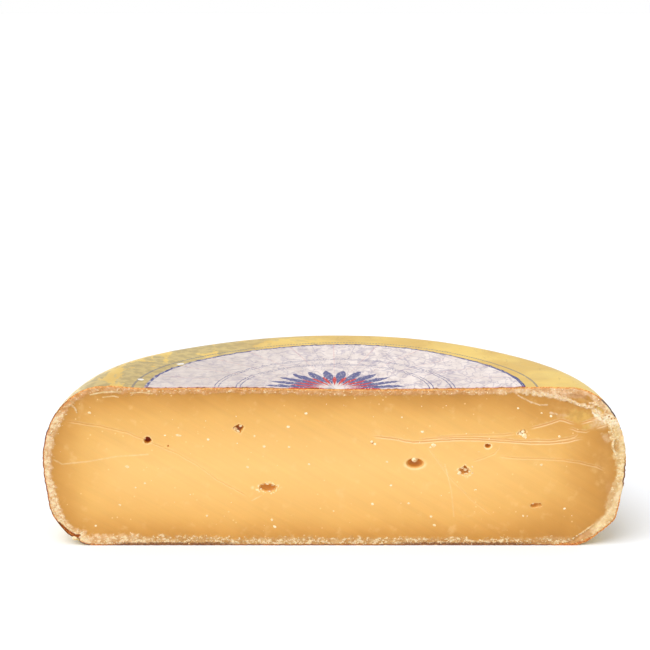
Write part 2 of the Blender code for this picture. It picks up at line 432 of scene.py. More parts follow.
class GeometryRule(Desk):
    """A tree of geometry nodes with named sizes."""

    def __init__(self, name: str) -> None:
        """Makes the tree with its geometry sockets.

        Args:
            name: the tree's name.
        """
        super().__init__(bpy.data.node_groups.new(name, "GeometryNodeTree"))
        self.values: dict[str, float | int] = {}
        for way in ("INPUT", "OUTPUT"):
            self.tree.interface.new_socket("Geometry", in_out=way, socket_type="NodeSocketGeometry")
        self.entry = self.tree.nodes.new("NodeGroupInput")

    def size(self, name: str, value: float, kind: str = "Float") -> Formula:
        """Adds a named size.

        Args:
            name: its name.
            value: its value.
            kind: what sort of number it is.

        Returns:
            The size, as the tree reads it.
        """
        socket = self.tree.interface.new_socket(name, in_out="INPUT", socket_type="NodeSocket" + kind)
        self.values[socket.identifier] = value
        return Formula(self.tree, self.entry.outputs[name])

    def count(self, name: str, value: int) -> Formula:
        """Adds a named whole number."""
        return self.size(name, value, "Int")

    def place(self) -> Socket:
        """The place of each point."""
        return self.add("GeometryNodeInputPosition").outputs[0]

    def attribute(self, name: str) -> Formula:
        """A number that the mesh carries."""
        return Formula(self.tree, self.add("GeometryNodeInputNamedAttribute", {"Name": name}).outputs[0])

    def grid(self, across: Formula, along: Formula) -> Socket:
        """A flat grid of one by one with that many points each way."""
        inputs = {"Size X": 1.0, "Size Y": 1.0, "Vertices X": across, "Vertices Y": along}
        return self.add("GeometryNodeMeshGrid", inputs).outputs["Mesh"]

    def moved(self, mesh: object, to: object) -> Socket:
        """Puts the points of a mesh at new places."""
        return self.add("GeometryNodeSetPosition", {"Geometry": mesh, "Position": to}).outputs[0]

    def welded(self, mesh: object) -> Socket:
        """Merges the points that lie in one place."""
        return self.add("GeometryNodeMergeByDistance", {"Geometry": mesh, "Distance": WELD}).outputs[0]

    def random(self, low: Formula | float, high: Formula | float, seed: object) -> Formula:
        """A random number for each point, between the lowest and the highest."""
        node = self.add("FunctionNodeRandomValue", {2: low, 3: high, "Seed": seed}, data_type="FLOAT")
        return Formula(self.tree, node.outputs[1])

    def random_turn(self, seed: object) -> Socket:
        """A random turn for each point.

        Args:
            seed: which turns are drawn.

        Returns:
            The turn about each axis, in radians.
        """
        node = self.add("FunctionNodeRandomValue", {"Seed": seed}, data_type="FLOAT_VECTOR")
        node.inputs[1].default_value = (math.tau, math.tau, math.tau)
        return node.outputs[0]

    def dented(self, mesh: object, grain: float, depth: Formula | float) -> Socket:
        """Moves the points of a mesh by a noise pattern.

        Args:
            mesh: the mesh, or instances of one.
            grain: size of the dents.
            depth: how far a point moves at most.

        Returns:
            The dented mesh.
        """
        solid = self.add("GeometryNodeRealizeInstances", {"Geometry": mesh}).outputs[0]
        pattern = self.add("ShaderNodeTexNoise", {"Scale": 1.0 / grain, "Detail": 2.0}).outputs[1]
        middle = self.add("ShaderNodeVectorMath", {0: pattern}, operation="SUBTRACT")
        middle.inputs[1].default_value = (0.5, 0.5, 0.5)
        inputs = {0: middle.outputs[0], "Scale": depth}
        offset = self.add("ShaderNodeVectorMath", inputs, operation="SCALE").outputs[0]
        return self.add("GeometryNodeSetPosition", {"Geometry": solid, "Offset": offset}).outputs[0]

    def finish(self, mesh: object, material: Material, smooth: bool = True) -> None:
        """Ends the tree.

        Args:
            mesh: the geometry's socket.
            material: what it is dressed in.
            smooth: whether its faces are shaded smooth.
        """
        self.material = material
        for kind, inputs in (
            ("GeometryNodeRealizeInstances", {}),
            ("GeometryNodeSetShadeSmooth", {"Shade Smooth": smooth}),
            ("GeometryNodeSetMaterial", {"Material": material}),
        ):
            mesh = self.add(kind, {"Geometry": mesh} | inputs).outputs[0]
        self.add("NodeGroupOutput", {0: mesh})

    def made(self, name: str, source: bpy.types.Mesh | None = None) -> Piece:
        """Works the tree out into a plain mesh.

        Args:
            name: the new object's name.
            source: the mesh that the tree starts from, if it needs one.

        Returns:
            The new object, with no modifier left on it.
        """
        carrier = shown(name + "_rule", source or bpy.data.meshes.new(name + "_start"))
        modifier = carrier.modifiers.new("Rule", "NODES")
        modifier.node_group = self.tree
        for identifier, value in self.values.items():
            modifier[identifier] = value
        graph = bpy.context.evaluated_depsgraph_get()
        mesh = bpy.data.meshes.new_from_object(carrier.evaluated_get(graph))
        bpy.data.objects.remove(carrier)
        mesh.materials.clear()
        mesh.materials.append(self.material)
        mesh.name = name
        return shown(name, mesh)


@dataclass(frozen=True)
class Bump:
    """A bell-shaped place where the wheel stands out or up, or in where the size is negative."""

    size: float
    at: float
    width: float
    direction: float
    span: float

    def bell(self, rule: GeometryRule, name: str, place: Formula, turn: Formula) -> Formula:
        """How far it moves each point.

        Args:
            rule: the tree that works it out.
            name: what the tree calls its size.
            place: height above the ground, or distance from the wheel's axis.
            turn: angle round that axis.

        Returns:
            The distance.
        """
        off = (place - self.at) / self.width
        away = (turn - self.direction) / self.span
        return rule.size(name, self.size) * (off * off * -1.0 - away * away).grown()


@dataclass(frozen=True)
class WheelShape:
    """The wheel's form: the same sizes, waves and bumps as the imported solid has."""

    radius: float = 0.190
    height: float = 0.107
    waist: float = 0.058
    top_shoulder: float = 0.036
    base_shoulder: float = 0.032
    top_roundness: float = 2.0
    base_roundness: float = 2.2
    side_swell: float = 0.0011
    top_wave: float = 0.0008
    top_bumps: tuple[Bump, ...] = (
        Bump(0.0022, 0.147, 0.016, math.pi, 0.55),
        Bump(0.0007, 0.138, 0.022, 0.0, 0.45),
    )
    side_bumps: tuple[Bump, ...] = (
        Bump(0.0017, 0.0225, 0.0085, math.pi, 0.50),
        Bump(0.0020, 0.0190, 0.0065, 0.0, 0.45),
        Bump(-0.0042, 0.0040, 0.0070, 0.0, 0.45),
    )

    def swelling(self, rule: GeometryRule, radius: Formula, turn: Formula, height: Formula) -> Formula:
        """How far the side swells out or pulls in.

        Args:
            rule: the tree that works it out.
            radius: distance from the wheel's axis.
            turn: angle round that axis.
            height: height above the ground.

        Returns:
            The distance outwards.
        """
        level = height / self.height
        slow = (turn * 2.0 + 0.7).sine() * 0.6
        quick = (turn * 5.0 + level * 3.0 + 2.0).sine() * 0.4
        out = rule.size("Side Swell", self.side_swell) * (level * math.pi).sine() * (slow + quick)
        for number, bump in enumerate(self.side_bumps, 1):
            out = out + bump.bell(rule, f"Side Bump {number}", height, turn)
        return out * (radius / self.radius) ** 4.0

    def rise(self, rule: GeometryRule, radius: Formula, turn: Formula) -> Formula:
        """How far the top rises or sinks.

        Args:
            rule: the tree that works it out.
            radius: distance from the wheel's axis.
            turn: angle round that axis.

        Returns:
            The distance upwards at full height.
        """
        across = (radius * turn.cosine() * 30.0 - 2.33).sine()
        back = (radius * turn.sine() * 22.0 + 0.9).cosine()
        up = rule.size("Top Wave", self.top_wave) * across * back
        for number, bump in enumerate(self.top_bumps, 1):
            up = up + bump.bell(rule, f"Top Bump {number}", radius, turn)
        return up


@dataclass(frozen=True)
class PasteFinish:
    """The cut paste: waxy and amber, paler to the middle, with a dry pale edge.

    A span along the cut or up it says where something begins and where it is complete.
    """

    edge_depth: float = 0.060
    slow: Span = (0.055, 0.185)
    slow_share: float = 0.68
    quick: Span = (-0.100, -0.165)
    quick_share: float = -0.20
    knife_tilt: float = math.radians(-30.0)
    depth_colours: tuple[tuple[float, Colour], ...] = (
        (0.00, paint(180, 124, 46)),
        (0.10, paint(198, 141, 60)),
        (0.20, paint(213, 157, 76)),
        (0.33, paint(226, 173, 91)),
        (0.60, paint(235, 185, 106)),
        (0.90, paint(241, 191, 113)),
    )
    stains: tuple[tuple[Mark, Colour, Colour, float], ...] = (
        (Mark.PALE, paint(228, 198, 142), paint(250, 230, 184), 0.9),
        (Mark.AMBER, paint(184, 130, 62), paint(204, 152, 80), 0.9),
        (Mark.OLIVE, paint(196, 154, 74), paint(224, 181, 92), 0.85),
        (Mark.PINK, paint(200, 152, 110), paint(222, 180, 140), 0.6),
    )
    dry_right: Span = (0.10, 0.13)
    dry_high: Span = (0.077, 0.086)
    tan: Tones = (paint(190, 143, 85), paint(211, 171, 114))
    tan_left: Tones = (paint(222, 176, 126), paint(242, 208, 164))
    tan_right: Tones = (paint(216, 178, 116), paint(240, 212, 154))
    pink: Tones = (paint(204, 144, 82), paint(222, 172, 122))
    pink_right: Tones = (paint(220, 168, 116), paint(240, 204, 160))
    left_end: Span = (-0.10, -0.17)
    right_end: Span = (0.160, 0.178)
    pink_end: Span = (0.070, 0.120)
    pink_high: Span = (0.080, 0.098)
    orange: Tones = (paint(188, 98, 36), paint(236, 156, 70))
    orange_top: Tones = (paint(216, 134, 64), paint(246, 186, 110))
    top_edge: Span = (0.100, 0.105)
    coat_right: Span = (0.140, 0.155)
    coat_bare: tuple[Span, Span] = ((0.030, 0.038), (0.1010, 0.0985))
    foot_right: Span = (0.146, 0.152)
    foot_low: Span = (0.008, 0.005)
    dark_edge_and_shade_below: Span = (0.103, 0.094)
    dark_upper: tuple[Span, Span] = ((0.0865, 0.0890), (0.1010, 0.0990))
    dark_lower: tuple[Span, Span] = ((0.0395, 0.0425), (0.058, 0.055))
    sole_middle: float = -0.110
    sole_wave: float = 32.2
    sole_left: Span = (-0.152, -0.134)
    sole_low: Span = (0.0034, 0.0024)

    def material(self) -> Material:
        """Builds the paste's material.

        Returns:
            The material.
        """
        desk = ShaderDesk("gouda_paste")
        slowed = 1.0 - desk.x.faded(*self.slow) * self.slow_share
        slowed = slowed + desk.x.faded(*self.quick) * self.quick_share
        drift = (desk.spots(0.030, 2.0) - 0.5) * 0.16
        inward = desk.carried(Mark.RIM) * slowed / self.edge_depth + drift
        marks = desk.spots(1.0, 5.0, 0.65, stretch=(9.0, 9.0, 240.0), tilt=self.knife_tilt)
        desk.colour = desk.shaded(desk.ramp(inward.kept(), self.depth_colours), 1.0 + (marks - 0.5) * 0.20)
        self.mottle(desk)
        self.stain(desk)
        crust = desk.carried(Mark.CRUST)
        flecks = desk.spots(0.0015, 4.0, 0.62, stretch=(0.75, 1.0, 1.15))
        self.dry_edge(desk, crust, flecks)
        self.cracks_and_eyes(desk)
        self.coat_edge(desk)
        height = marks * 0.3 * (1.0 - crust) + flecks * (crust * 2.0 + 0.10)
        waxy = {"Specular IOR Level": 0.42, "Subsurface Weight": 0.12, "Subsurface Scale": 0.004}
        waxy["Subsurface Radius"] = (0.9, 0.45, 0.15)
        return desk.dress(crust * 0.35 + marks * 0.12 + 0.40, height, 0.6, 0.0007, waxy)

    def mottle(self, desk: ShaderDesk) -> None:
        """Adds the paste's cloudy spots and its pinpoints.

        Args:
            desk: the desk of the paste.
        """
        desk.over(desk.spots(0.008, 4.0).faded(0.56, 0.78) * 0.28, paint(244, 206, 140))
        chosen = desk.spots(0.011, 2.0).faded(0.50, 0.60)
        desk.over(desk.cells(desk.place, 0.0050).faded(0.13, 0.07) * chosen * 0.6, paint(248, 214, 150))

    def stain(self, desk: ShaderDesk) -> None:
        """Adds the pale, the clear amber, the olive and the pinkish places of the dried edge.

        Args:
            desk: the desk of the paste.
        """
        cloud = desk.spots(0.004, 3.0).faded(0.34, 0.66)
        for mark, dim, bright, share in self.stains:
            desk.over(desk.carried(mark) * share, desk.mixed(cloud, dim, bright))
        dry = desk.carried(Mark.PALE) * desk.x.faded(*self.dry_right) * desk.z.faded(*self.dry_high)
        desk.over(dry * desk.spots(0.0018, 4.0).faded(0.40, 0.56) * 0.65, paint(254, 244, 222))

    def dry_edge(self, desk: ShaderDesk, crust: Formula, flecks: Formula) -> None:
        """Adds the dry edge: a pale haze, and crumbs that stand closer together towards the rim.

        Args:
            desk: the desk of the paste.
            crust: how dry the paste is.
            flecks: the pattern of the crumbs.
        """
        broad = desk.spots(0.0050, 3.0)
        spread = broad.faded(0.36, 0.66)
        high = desk.z.faded(*self.pink_high)
        tan = desk.mixed(spread, *self.tan)
        tan = desk.mixed(desk.x.faded(*self.left_end), tan, desk.mixed(spread, *self.tan_left))
        tan = desk.mixed(desk.x.faded(*self.right_end), tan, desk.mixed(spread, *self.tan_right))
        pink = desk.mixed(spread, *self.pink)
        pink = desk.mixed(desk.x.faded(*self.pink_end), pink, desk.mixed(spread, *self.pink_right))
        haze = crust.faded(0.05, 0.95) * (broad * 0.9 + 0.32) * (1.0 - desk.carried(Mark.PALE) * 0.85)
        desk.over(haze.kept(), desk.mixed(high, tan, pink))
        fine = desk.spots(0.0008, 2.0, 0.6) - 0.5
        level = flecks + fine * 0.30 + crust * (0.17 - high * 0.08) + (broad - 0.5) * 0.20 - 0.66
        desk.over(level.faded(0.0, 0.09) * crust.faded(0.03, 0.16) * 0.75, paint(244, 224, 180))
        gap = (0.43 - flecks - fine * 0.3).faded(0.0, 0.09) * crust
        desk.over(gap * 0.24, paint(180, 128, 72))

    def cracks_and_eyes(self, desk: ShaderDesk) -> None:
        """Adds the pale lips of the cracks and eyes, partly dried paste and partly painted highlight,
        painted shade in the cracks' gaps and inside the eyes, and the bared coat.

        Args:
            desk: the desk of the paste.
        """
        wear = desk.spots(0.006, 3.0).faded(0.30, 0.55) * 0.4 + 0.6
        # The pale lips of the cracks and eyes: partly dried paste, partly painted highlight where a lower
        # lip faces the light.
        desk.over(desk.carried(Mark.LIP) * wear * 0.9, paint(254, 228, 176))
        # Painted shade in the cracks' gaps: a darker orange line.
        desk.over(desk.carried(Mark.CRACK) * wear * 0.9, paint(208, 132, 60))
        # Painted shade inside the eyes: amber-brown towards the edge of each hollow and darker at its
        # deepest, lighter in the pinkish eye.
        pit = desk.carried(Mark.PIT)
        deepest = desk.mixed(desk.carried(Mark.PINK), paint(140, 48, 12), paint(190, 130, 70))
        desk.over(pit.faded(0.0, 0.45), paint(208, 132, 40))
        desk.over(pit.faded(0.45, 1.0), deepest)
        bare = desk.mixed(desk.spots(0.0020).faded(0.40, 0.60), paint(140, 74, 4), paint(184, 92, 10))
        desk.over(desk.carried(Mark.COAT), bare)

    def coat_edge(self, desk: ShaderDesk) -> None:
        """Adds the coat's own cut edge: an orange line, a dark line outside it that is partly the coat's
        edge and partly painted shade, and a brown line along the bottom that is partly the coat's edge and
        partly painted contact shadow.

        Args:
            desk: the desk of the paste.
        """
        rim = desk.carried(Mark.RIM) / MM
        right = desk.x.faded(*self.coat_right)
        grit = desk.spots(0.0013).faded(0.42, 0.60)
        along = desk.spots(0.016, 2.0)
        wander = desk.spots(0.0030, 3.0) - 0.5
        orange = desk.mixed(grit, *self.orange)
        orange = desk.mixed(desk.z.faded(*self.top_edge), orange, desk.mixed(grit, *self.orange_top))
        bare = right * desk.z.between(*self.coat_bare)
        thick = desk.x.faded(*self.foot_right) * desk.z.faded(*self.foot_low) * 0.9
        line = (rim - thick + wander * 1.2).faded(1.10, 0.65) * along.faded(0.26, 0.36)
        desk.over(line * (1.0 - bare * 0.9) * 0.8, orange)
        upper = right * desk.z.between(*self.dark_upper)
        lower = right * desk.z.between(*self.dark_lower)
        outer = rim + wander * 0.6
        # On the left and along the bottom the dark line is partly the coat's edge and partly painted shade,
        # and it stays off the top; on the right it follows the coat's printed bands.
        dark = outer.faded(0.60, 0.36) * desk.z.faded(*self.dark_edge_and_shade_below) * (1.0 - right)
        dark = dark * desk.spots(0.014, 2.0).faded(0.34, 0.44)
        dark = dark.most((upper + lower) * outer.faded(1.00, 0.70))
        navy = (along.faded(0.44, 0.54) * (1.0 - right)).most(upper)
        desk.over(dark * 0.85, desk.mixed(navy, paint(104, 56, 36), paint(48, 48, 70)))
        # Painted contact shadow, partly the coat's brown edge: a brown line along the bottom, in stretches.
        swing = ((desk.x - self.sole_middle) * self.sole_wave).cosine().faded(-0.2, 0.6)
        sole_edge_and_shadow = (rim + wander * 0.8).faded(2.50, 1.60) * desk.z.faded(*self.sole_low)
        sole_edge_and_shadow = sole_edge_and_shadow * swing * desk.x.faded(*self.sole_left)
        desk.over(sole_edge_and_shadow * 0.85, desk.mixed(grit, paint(112, 64, 30), paint(154, 100, 50)))


@dataclass(frozen=True)
class PrintBand:
    """One printed band round the wheel's side, between two heights."""

    low: float
    high: float

    def inside(self, z: Formula, softness: float = 0.0004) -> Formula:
        """1 between the two heights and 0 elsewhere."""
        rise = (self.low - softness, self.low + softness)
        return z.between(rise, (self.high + softness, self.high - softness))

    def level(self, z: Formula) -> Formula:
        """How far up the band a height is, from 0 to 1."""
        return (z - self.low) / (self.high - self.low)


def oval(
    x: Formula, y: Formula, middle: tuple[float, float], reach: tuple[float, float], tilt: float = 0.0
) -> Formula:
    """Draws a filled oval.

    Args:
        x: place across the cell.
        y: place up the cell.
        middle: the oval's middle.
        reach: its two half axes.
        tilt: its turn, in radians.

    Returns:
        1 inside and 0 outside.
    """
    right = x - middle[0]
    up = y - middle[1]
    across = (right * math.cos(tilt) + up * math.sin(tilt)) / reach[0]
    along = (up * math.cos(tilt) - right * math.sin(tilt)) / reach[1]
    return (across * across + along * along).faded(1.08, 0.92)


def united(shapes: Sequence[Formula]) -> Formula:
    """Draws several shapes as one."""
    return reduce(Formula.most, shapes)


@dataclass(frozen=True)
class RindFinish:
    """The yellow coat with its printed bands, worn and slightly creased."""

    sprigs: PrintBand = PrintBand(0.0815, 0.0985)
    ribbon: PrintBand = PrintBand(0.0640, 0.0775)
    lattice: PrintBand = PrintBand(0.0170, 0.0560)
    line_heights: tuple[float, ...] = (0.0803, 0.0608, 0.0156)
    line_width: float = 0.0009
    sprigs_round: float = 26.0
    lozenges_round: float = 54.0
    ring_radius: float = 0.1308
    dashes_round: float = 190.0
    scraps: tuple[tuple[float, float, float], ...] = ((2.979, 0.1296, 0.0060), (2.570, 0.1262, 0.0080))
    scrap_height: float = 0.0022
    side: Span = (0.160, 0.166)
    top: Span = (0.098, 0.102)
    left: Span = (0.02, -0.10)
    far: Span = (0.150, 0.172)
    highlight_rise: Span = (0.070, 0.095)

    def material(self) -> Material:
        """Builds the coat's material.

        Returns:
            The material.
        """
        desk = ShaderDesk("gouda_rind")
        radius, turn = desk.polar()
        stain = self.coat(desk, radius)
        self.print_bands(desk, radius, turn)
        for at, reach, across in self.scraps:
            torn = (desk.spots(0.0035, 2.0) - 0.5) * 0.010
            reaches = (across, self.scrap_height)
            scrap = oval(turn + torn, radius + torn * 0.3, (at / math.pi, reach), reaches)
            desk.over(scrap * desk.z.faded(*self.top) * 0.9, paint(240, 236, 230))
        scuffs = desk.spots(0.018, 5.0, 0.65, 1.5, stretch=(1.0, 1.0, 2.2))
        desk.over(scuffs.faded(0.66, 0.74) * 0.5, paint(150, 98, 48))
        folds = desk.spots(0.020, 3.0, 0.5, 1.2, stretch=(1.0, 1.0, 1.6)) - 0.5
        creases = folds.size().faded(0.010, 0.002) * desk.spots(0.03, 2.0).faded(0.50, 0.60)
        desk.over(creases * 0.35, paint(140, 100, 54))
        fine = desk.spots(0.0016, 4.0, 0.6)
        height = fine * 0.5 - creases * 1.2 + stain * 0.4
        coated = {"Coat Weight": 0.10, "Coat Roughness": 0.32}
        return desk.dress(fine * 0.16 + 0.34, height, 0.45, 0.0005, coated)

    def coat(self, desk: ShaderDesk, radius: Formula) -> Formula:
        """Lays the yellow ground with its grey-olive stains, and a painted highlight on the outer edge of
        the left half near the top.

        Args:
            desk: the desk of the coat.
            radius: distance from the wheel's axis.

        Returns:
            How stained the coat is.
        """
        broad = desk.spots(0.045, 3.0).faded(0.35, 0.65)
        desk.colour = desk.mixed(broad, paint(214, 174, 74), paint(231, 196, 92))
        left = desk.x.faded(*self.left)
        far = radius.faded(*self.far)
        blots = desk.spots(0.024, 6.0, 0.60, 0.6, stretch=(1.0, 0.60, 1.0))
        stain = (blots + left * (0.085 - far * 0.09)).faded(0.515, 0.560) * (left * 0.75 + 0.10)
        # Painted highlight: pale cream on the outer edge of the left half, growing towards the top, where
        # the light catches it.
        desk.over(far * left * 0.60 * desk.z.faded(*self.highlight_rise), paint(248, 228, 172))
        shade = desk.spots(0.006, 4.0).faded(0.40, 0.60)
        desk.over(stain * 0.80, desk.mixed(shade, paint(142, 130, 92), paint(186, 168, 112)))
        return stain

    def print_bands(self, desk: ShaderDesk, radius: Formula, turn: Formula) -> None:
        """Prints the bands round the side and the fine ring on the top.

        Args:
            desk: the desk of the coat.
            radius: distance from the wheel's axis.
            turn: angle round it, in half turns.
        """
        z = desk.z
        worn = desk.spots(0.0022, 4.0, 0.7).faded(0.36, 0.42)
        side = radius.faded(*self.side)
        blue = (self.sprig_row(turn, z) * self.sprigs.inside(z)).most(self.lines(z))
        desk.over(blue * worn * side, paint(52, 62, 124))
        ribbon = self.ribbon.inside(z) * side
        desk.over(ribbon * worn.most(0.9), paint(200, 38, 28))
        desk.over(self.lozenges(turn, z) * ribbon * worn, paint(240, 206, 120))
        lattice = self.lattice_lines(turn, z) * self.lattice.inside(z) * side
        desk.over(lattice * worn * 0.6, paint(118, 112, 92))
        desk.over(self.dashed_ring(radius, turn) * worn * 0.9, paint(74, 80, 104))

    def lines(self, z: Formula) -> Formula:
        """The thin lines that the bands stand between."""
        width = self.line_width
        return united([(z - at).size().faded(width * 0.62, width * 0.38) for at in self.line_heights])

    def sprig_row(self, turn: Formula, z: Formula) -> Formula:
        """Draws a row of budding sprigs, each with a stem, two leaves and a bud of three petals.

        Args:
            turn: angle round the wheel's axis, in half turns.
            z: height above the ground.

        Returns:
            1 on a sprig and 0 elsewhere.
        """
        across = ((turn * self.sprigs_round).fraction() - 0.5) * 1.25
        up = self.sprigs.level(z)
        drawn = [oval(across, up, (0.0, 0.36), (0.030, 0.40)), oval(across, up, (0.0, 0.76), (0.10, 0.22))]
        for hand in (-1.0, 1.0):
            drawn.append(oval(across, up, (0.12 * hand, 0.80), (0.065, 0.20), -0.35 * hand))
            drawn.append(oval(across, up, (0.20 * hand, 0.30), (0.055, 0.30), -0.75 * hand))
            drawn.append(oval(across, up, (0.44 * hand, 0.12), (0.05, 0.10)))
        return united(drawn)

    def lozenges(self, turn: Formula, z: Formula) -> Formula:
        """Draws a row of hollow lozenges with a dot between each two, and the ribbon's two edges.

        Args:
            turn: angle round the wheel's axis, in half turns.
            z: height above the ground.

        Returns:
            1 on the drawing and 0 elsewhere.
        """
        across = ((turn * self.lozenges_round).fraction() - 0.5).size()
        up = self.ribbon.level(z) - 0.5
        off = across * 2.6 + up.size() * 2.9
        dots = oval(across, up, (0.5, 0.0), (0.06, 0.09))
        edges = (up.size() - 0.43).size().faded(0.035, 0.02)
        return united([off.faded(1.04, 0.96) * off.faded(0.52, 0.60), dots, edges])

    def lattice_lines(self, turn: Formula, z: Formula) -> Formula:
        """Draws crossed lines with a dot in each gap.

        Args:
            turn: angle round the wheel's axis, in half turns.
            z: height above the ground.

        Returns:
            1 on the drawing and 0 elsewhere.
        """
        around = turn * self.sprigs_round
        up = self.lattice.level(z) * 2.0
        bars = [((around + up * hand).fraction() - 0.5).size().faded(0.045, 0.025) for hand in (-1.0, 1.0)]
        dots = oval((around + 0.5).fraction() - 0.5, (up + 0.5).fraction() - 0.5, (0.0, 0.0), (0.07, 0.10))
        return united([*bars, dots])

    def dashed_ring(self, radius: Formula, turn: Formula) -> Formula:
        """A fine ring of dashes on the top, outside the label."""
        dash = ((turn * self.dashes_round).fraction() - 0.5).size().faded(0.40, 0.34)
        return (radius - self.ring_radius).size().faded(0.00090, 0.00060) * dash


@dataclass(frozen=True)
class LabelFinish:
    """Thin paper, crinkled and pressed into the cheese, with plain rings and a rosette."""

    border: float = 0.1220
    border_width: float = 0.0024
    petal_reach: float = 0.047
    petals: float = 12.0
    ring_pairs: tuple[float, ...] = (0.0612, 0.0638, 0.0752, 0.0778)
    left: Span = (0.02, -0.09)
    veins: tuple[tuple[float, float], ...] = ((0.0080, 0.50), (0.0060, 0.45), (0.0110, 0.54))

    def material(self) -> Material:
        """Builds the paper's material.

        Returns:
            The material.
        """
        desk = ShaderDesk("label_paper")
        creases = desk.attribute("crease")
        left = desk.x.faded(*self.left)
        broad = desk.spots(0.010, 3.0, 0.55, 0.6, stretch=(1.0, 0.40, 1.0))
        desk.colour = desk.mixed(broad.faded(0.34, 0.66), paint(216, 203, 198), paint(234, 222, 216))
        desk.over(left * 0.55, paint(200, 188, 180))
        # Painted shade: grey in the paper's wrinkles on the left, along its creases and in its vein-like
        # crinkles.
        wrinkles = desk.spots(0.0060, 3.0, 0.6, 0.8, stretch=(0.5, 2.2, 1.0))
        desk.over(wrinkles.faded(0.52, 0.64) * left * 0.45, paint(150, 142, 150))
        desk.over(creases.faded(0.55, 0.98) * 0.22, paint(142, 132, 150))
        for grain, level in self.veins:
            field = desk.spots(grain, 1.5, 0.45, 0.5, stretch=(0.6, 0.36, 1.0))
            vein = (field - level).size().faded(0.024, 0.008)
            desk.over(vein * (0.42 - left * 0.22), paint(152, 142, 164))
        self.printed(desk, left)
        fine = desk.spots(0.0010, 4.0, 0.65)
        height = fine * 0.5 + broad * 0.3 - creases * 0.6
        return desk.dress(fine * 0.14 + 0.44, height, 0.40, 0.0004, {"Specular IOR Level": 0.40})

    def printed(self, desk: ShaderDesk, left: Formula) -> None:
        """Prints the rings and the rosette.

        Args:
            desk: the desk of the paper.
            left: how far to the worn left a place is.
        """
        radius, turn = desk.polar()
        worn = desk.spots(0.0016, 4.0, 0.7).faded(0.37, 0.43)
        broken = desk.spots(0.0060, 3.0, 0.6).faded(0.40, 0.48)
        blue = self.rings(radius) * worn * (broken * (left * 0.6 + 0.15) + 0.85 - left * 0.6)
        blue = blue.most(self.rosette(radius, turn, 0.0, 0.0) * worn * 0.92)
        desk.over(blue, paint(58, 66, 126))
        desk.over(self.rosette(radius, turn, 0.5, 0.35) * worn, paint(196, 34, 32))

    def rings(self, radius: Formula) -> Formula:
        """Draws the border and the pairs of fine rings.

        Args:
            radius: distance from the wheel's axis.

        Returns:
            1 on the border, a little less on a ring and 0 elsewhere.
        """
        border = (radius - self.border).size().faded(self.border_width * 0.56, self.border_width * 0.44)
        rings = [(radius - ring).size().faded(0.00048, 0.00026) * 0.85 for ring in self.ring_pairs]
        return united([border, *rings])

    def rosette(self, radius: Formula, turn: Formula, shift: float, inset: float) -> Formula:
        """Draws a round of petals about the middle.

        Args:
            radius: distance from the wheel's axis.
            turn: angle round it, in half turns.
            shift: how far the petals are turned, in petals.
            inset: how much shorter and slimmer they are, as a share.

        Returns:
            1 on a petal and 0 elsewhere.
        """
        across = ((turn * self.petals + shift).fraction() - 0.5) * 2.0
        along = radius / self.petal_reach
        longest = 1.0 - inset
        arch = (1.0 - ((along - longest * 0.60) / (longest * 0.38)) ** 2.0).most(0.0)
        return (arch * (0.80 - inset * 0.9) - across.size()).faded(-0.03, 0.03) * radius.faded(0.004, 0.006)


@dataclass(frozen=True)
class GrainFinish:
    """Crystals and crumbs: small, dry and uneven in colour."""

    name: str
    dark: Colour
    light: Colour
    roughness: float
    spot: float = 0.0025

    def material(self) -> Material:
        """Builds the grains' material.

        Returns:
            The material.
        """
        desk = ShaderDesk(self.name)
        desk.colour = desk.mixed(desk.spots(self.spot, 3.0).faded(0.38, 0.62), self.dark, self.light)
        grit = desk.spots(self.spot * 0.25, 3.0)
        return desk.dress(grit * 0.2 + self.roughness, grit, 0.5, 0.0003)


@dataclass(frozen=True)
class FloorFinish:
    """The studio's pale floor."""

    tone: Colour = paint(240, 243, 248)
    bright: Colour = paint(246, 249, 254)

    def material(self) -> Material:
        """Builds the floor's material.

        Returns:
            The material.
        """
        desk = ShaderDesk("studio_floor")
        grain = desk.spots(0.4, 2.0)
        desk.colour = desk.mixed(grain, self.tone, self.bright)
        return desk.dress(grain * 0.1 + 0.7, grain, 0.02, 0.0002, {"Specular IOR Level": 0.15})


@dataclass(frozen=True)
class Eye:
    """A hole that the cut went through."""

    x: float
    z: float
    half_width: float
    half_height: float
    depth: float
    # How much painted shade lies inside the hole.
    pit_shade: float = 1.0
    raggedness: float = 0.22
    # How strong the pale lip is; partly dried paste, partly painted highlight.
    lip: float = 0.6
    crumbled: float = 0.0

    def nearness(self, x: float, z: float) -> float:
        """How far out from the eye's middle a point is.

        Args:
            x: place along the cut.
            z: height of the place.

        Returns:
            0 at the middle and 1 on the uneven edge.
        """
        share = math.hypot((x - self.x) / self.half_width, (z - self.z) / self.half_height)
        if share > 2.5:
            return share
        return share * (1.0 + self.raggedness * rough(x, z, self.half_width * 1.1, self.x * 500.0, 3))


@dataclass(frozen=True)
class Crack:
    """A line along which the paste has parted."""

    points: tuple[tuple[float, float], ...]
    width: float
    depth: float
    lip: float
    # How strong the painted shade in the gap is; it also makes the lips paler.
    gape: float = 1.0


@dataclass(frozen=True)
class RimStretch:
    """What the dry edge is like near one place of the rim."""

    x: float
    z: float
    width: float
    hollow: float
    cover: float = 1.0


@dataclass(frozen=True)
class Chip:
    """A piece that has broken off the rim."""

    x: float
    z: float
    reach: float
    depth: float


@dataclass(frozen=True)
class Patch:
    """An oval place that is clearer, darker or drier than what lies round it."""

    mark: Mark
    x: float
    z: float
    long: float
    short: float
    tilt: float = 0.0
    strength: float = 1.0
    sink: float = 0.0003


@dataclass(frozen=True)
class Ridge:
    """A string of pale crumbs that stands up along a line."""

    points: tuple[tuple[float, float], ...]
    width: float
    height: float
    strength: float = 1.0
    smooth: bool = False


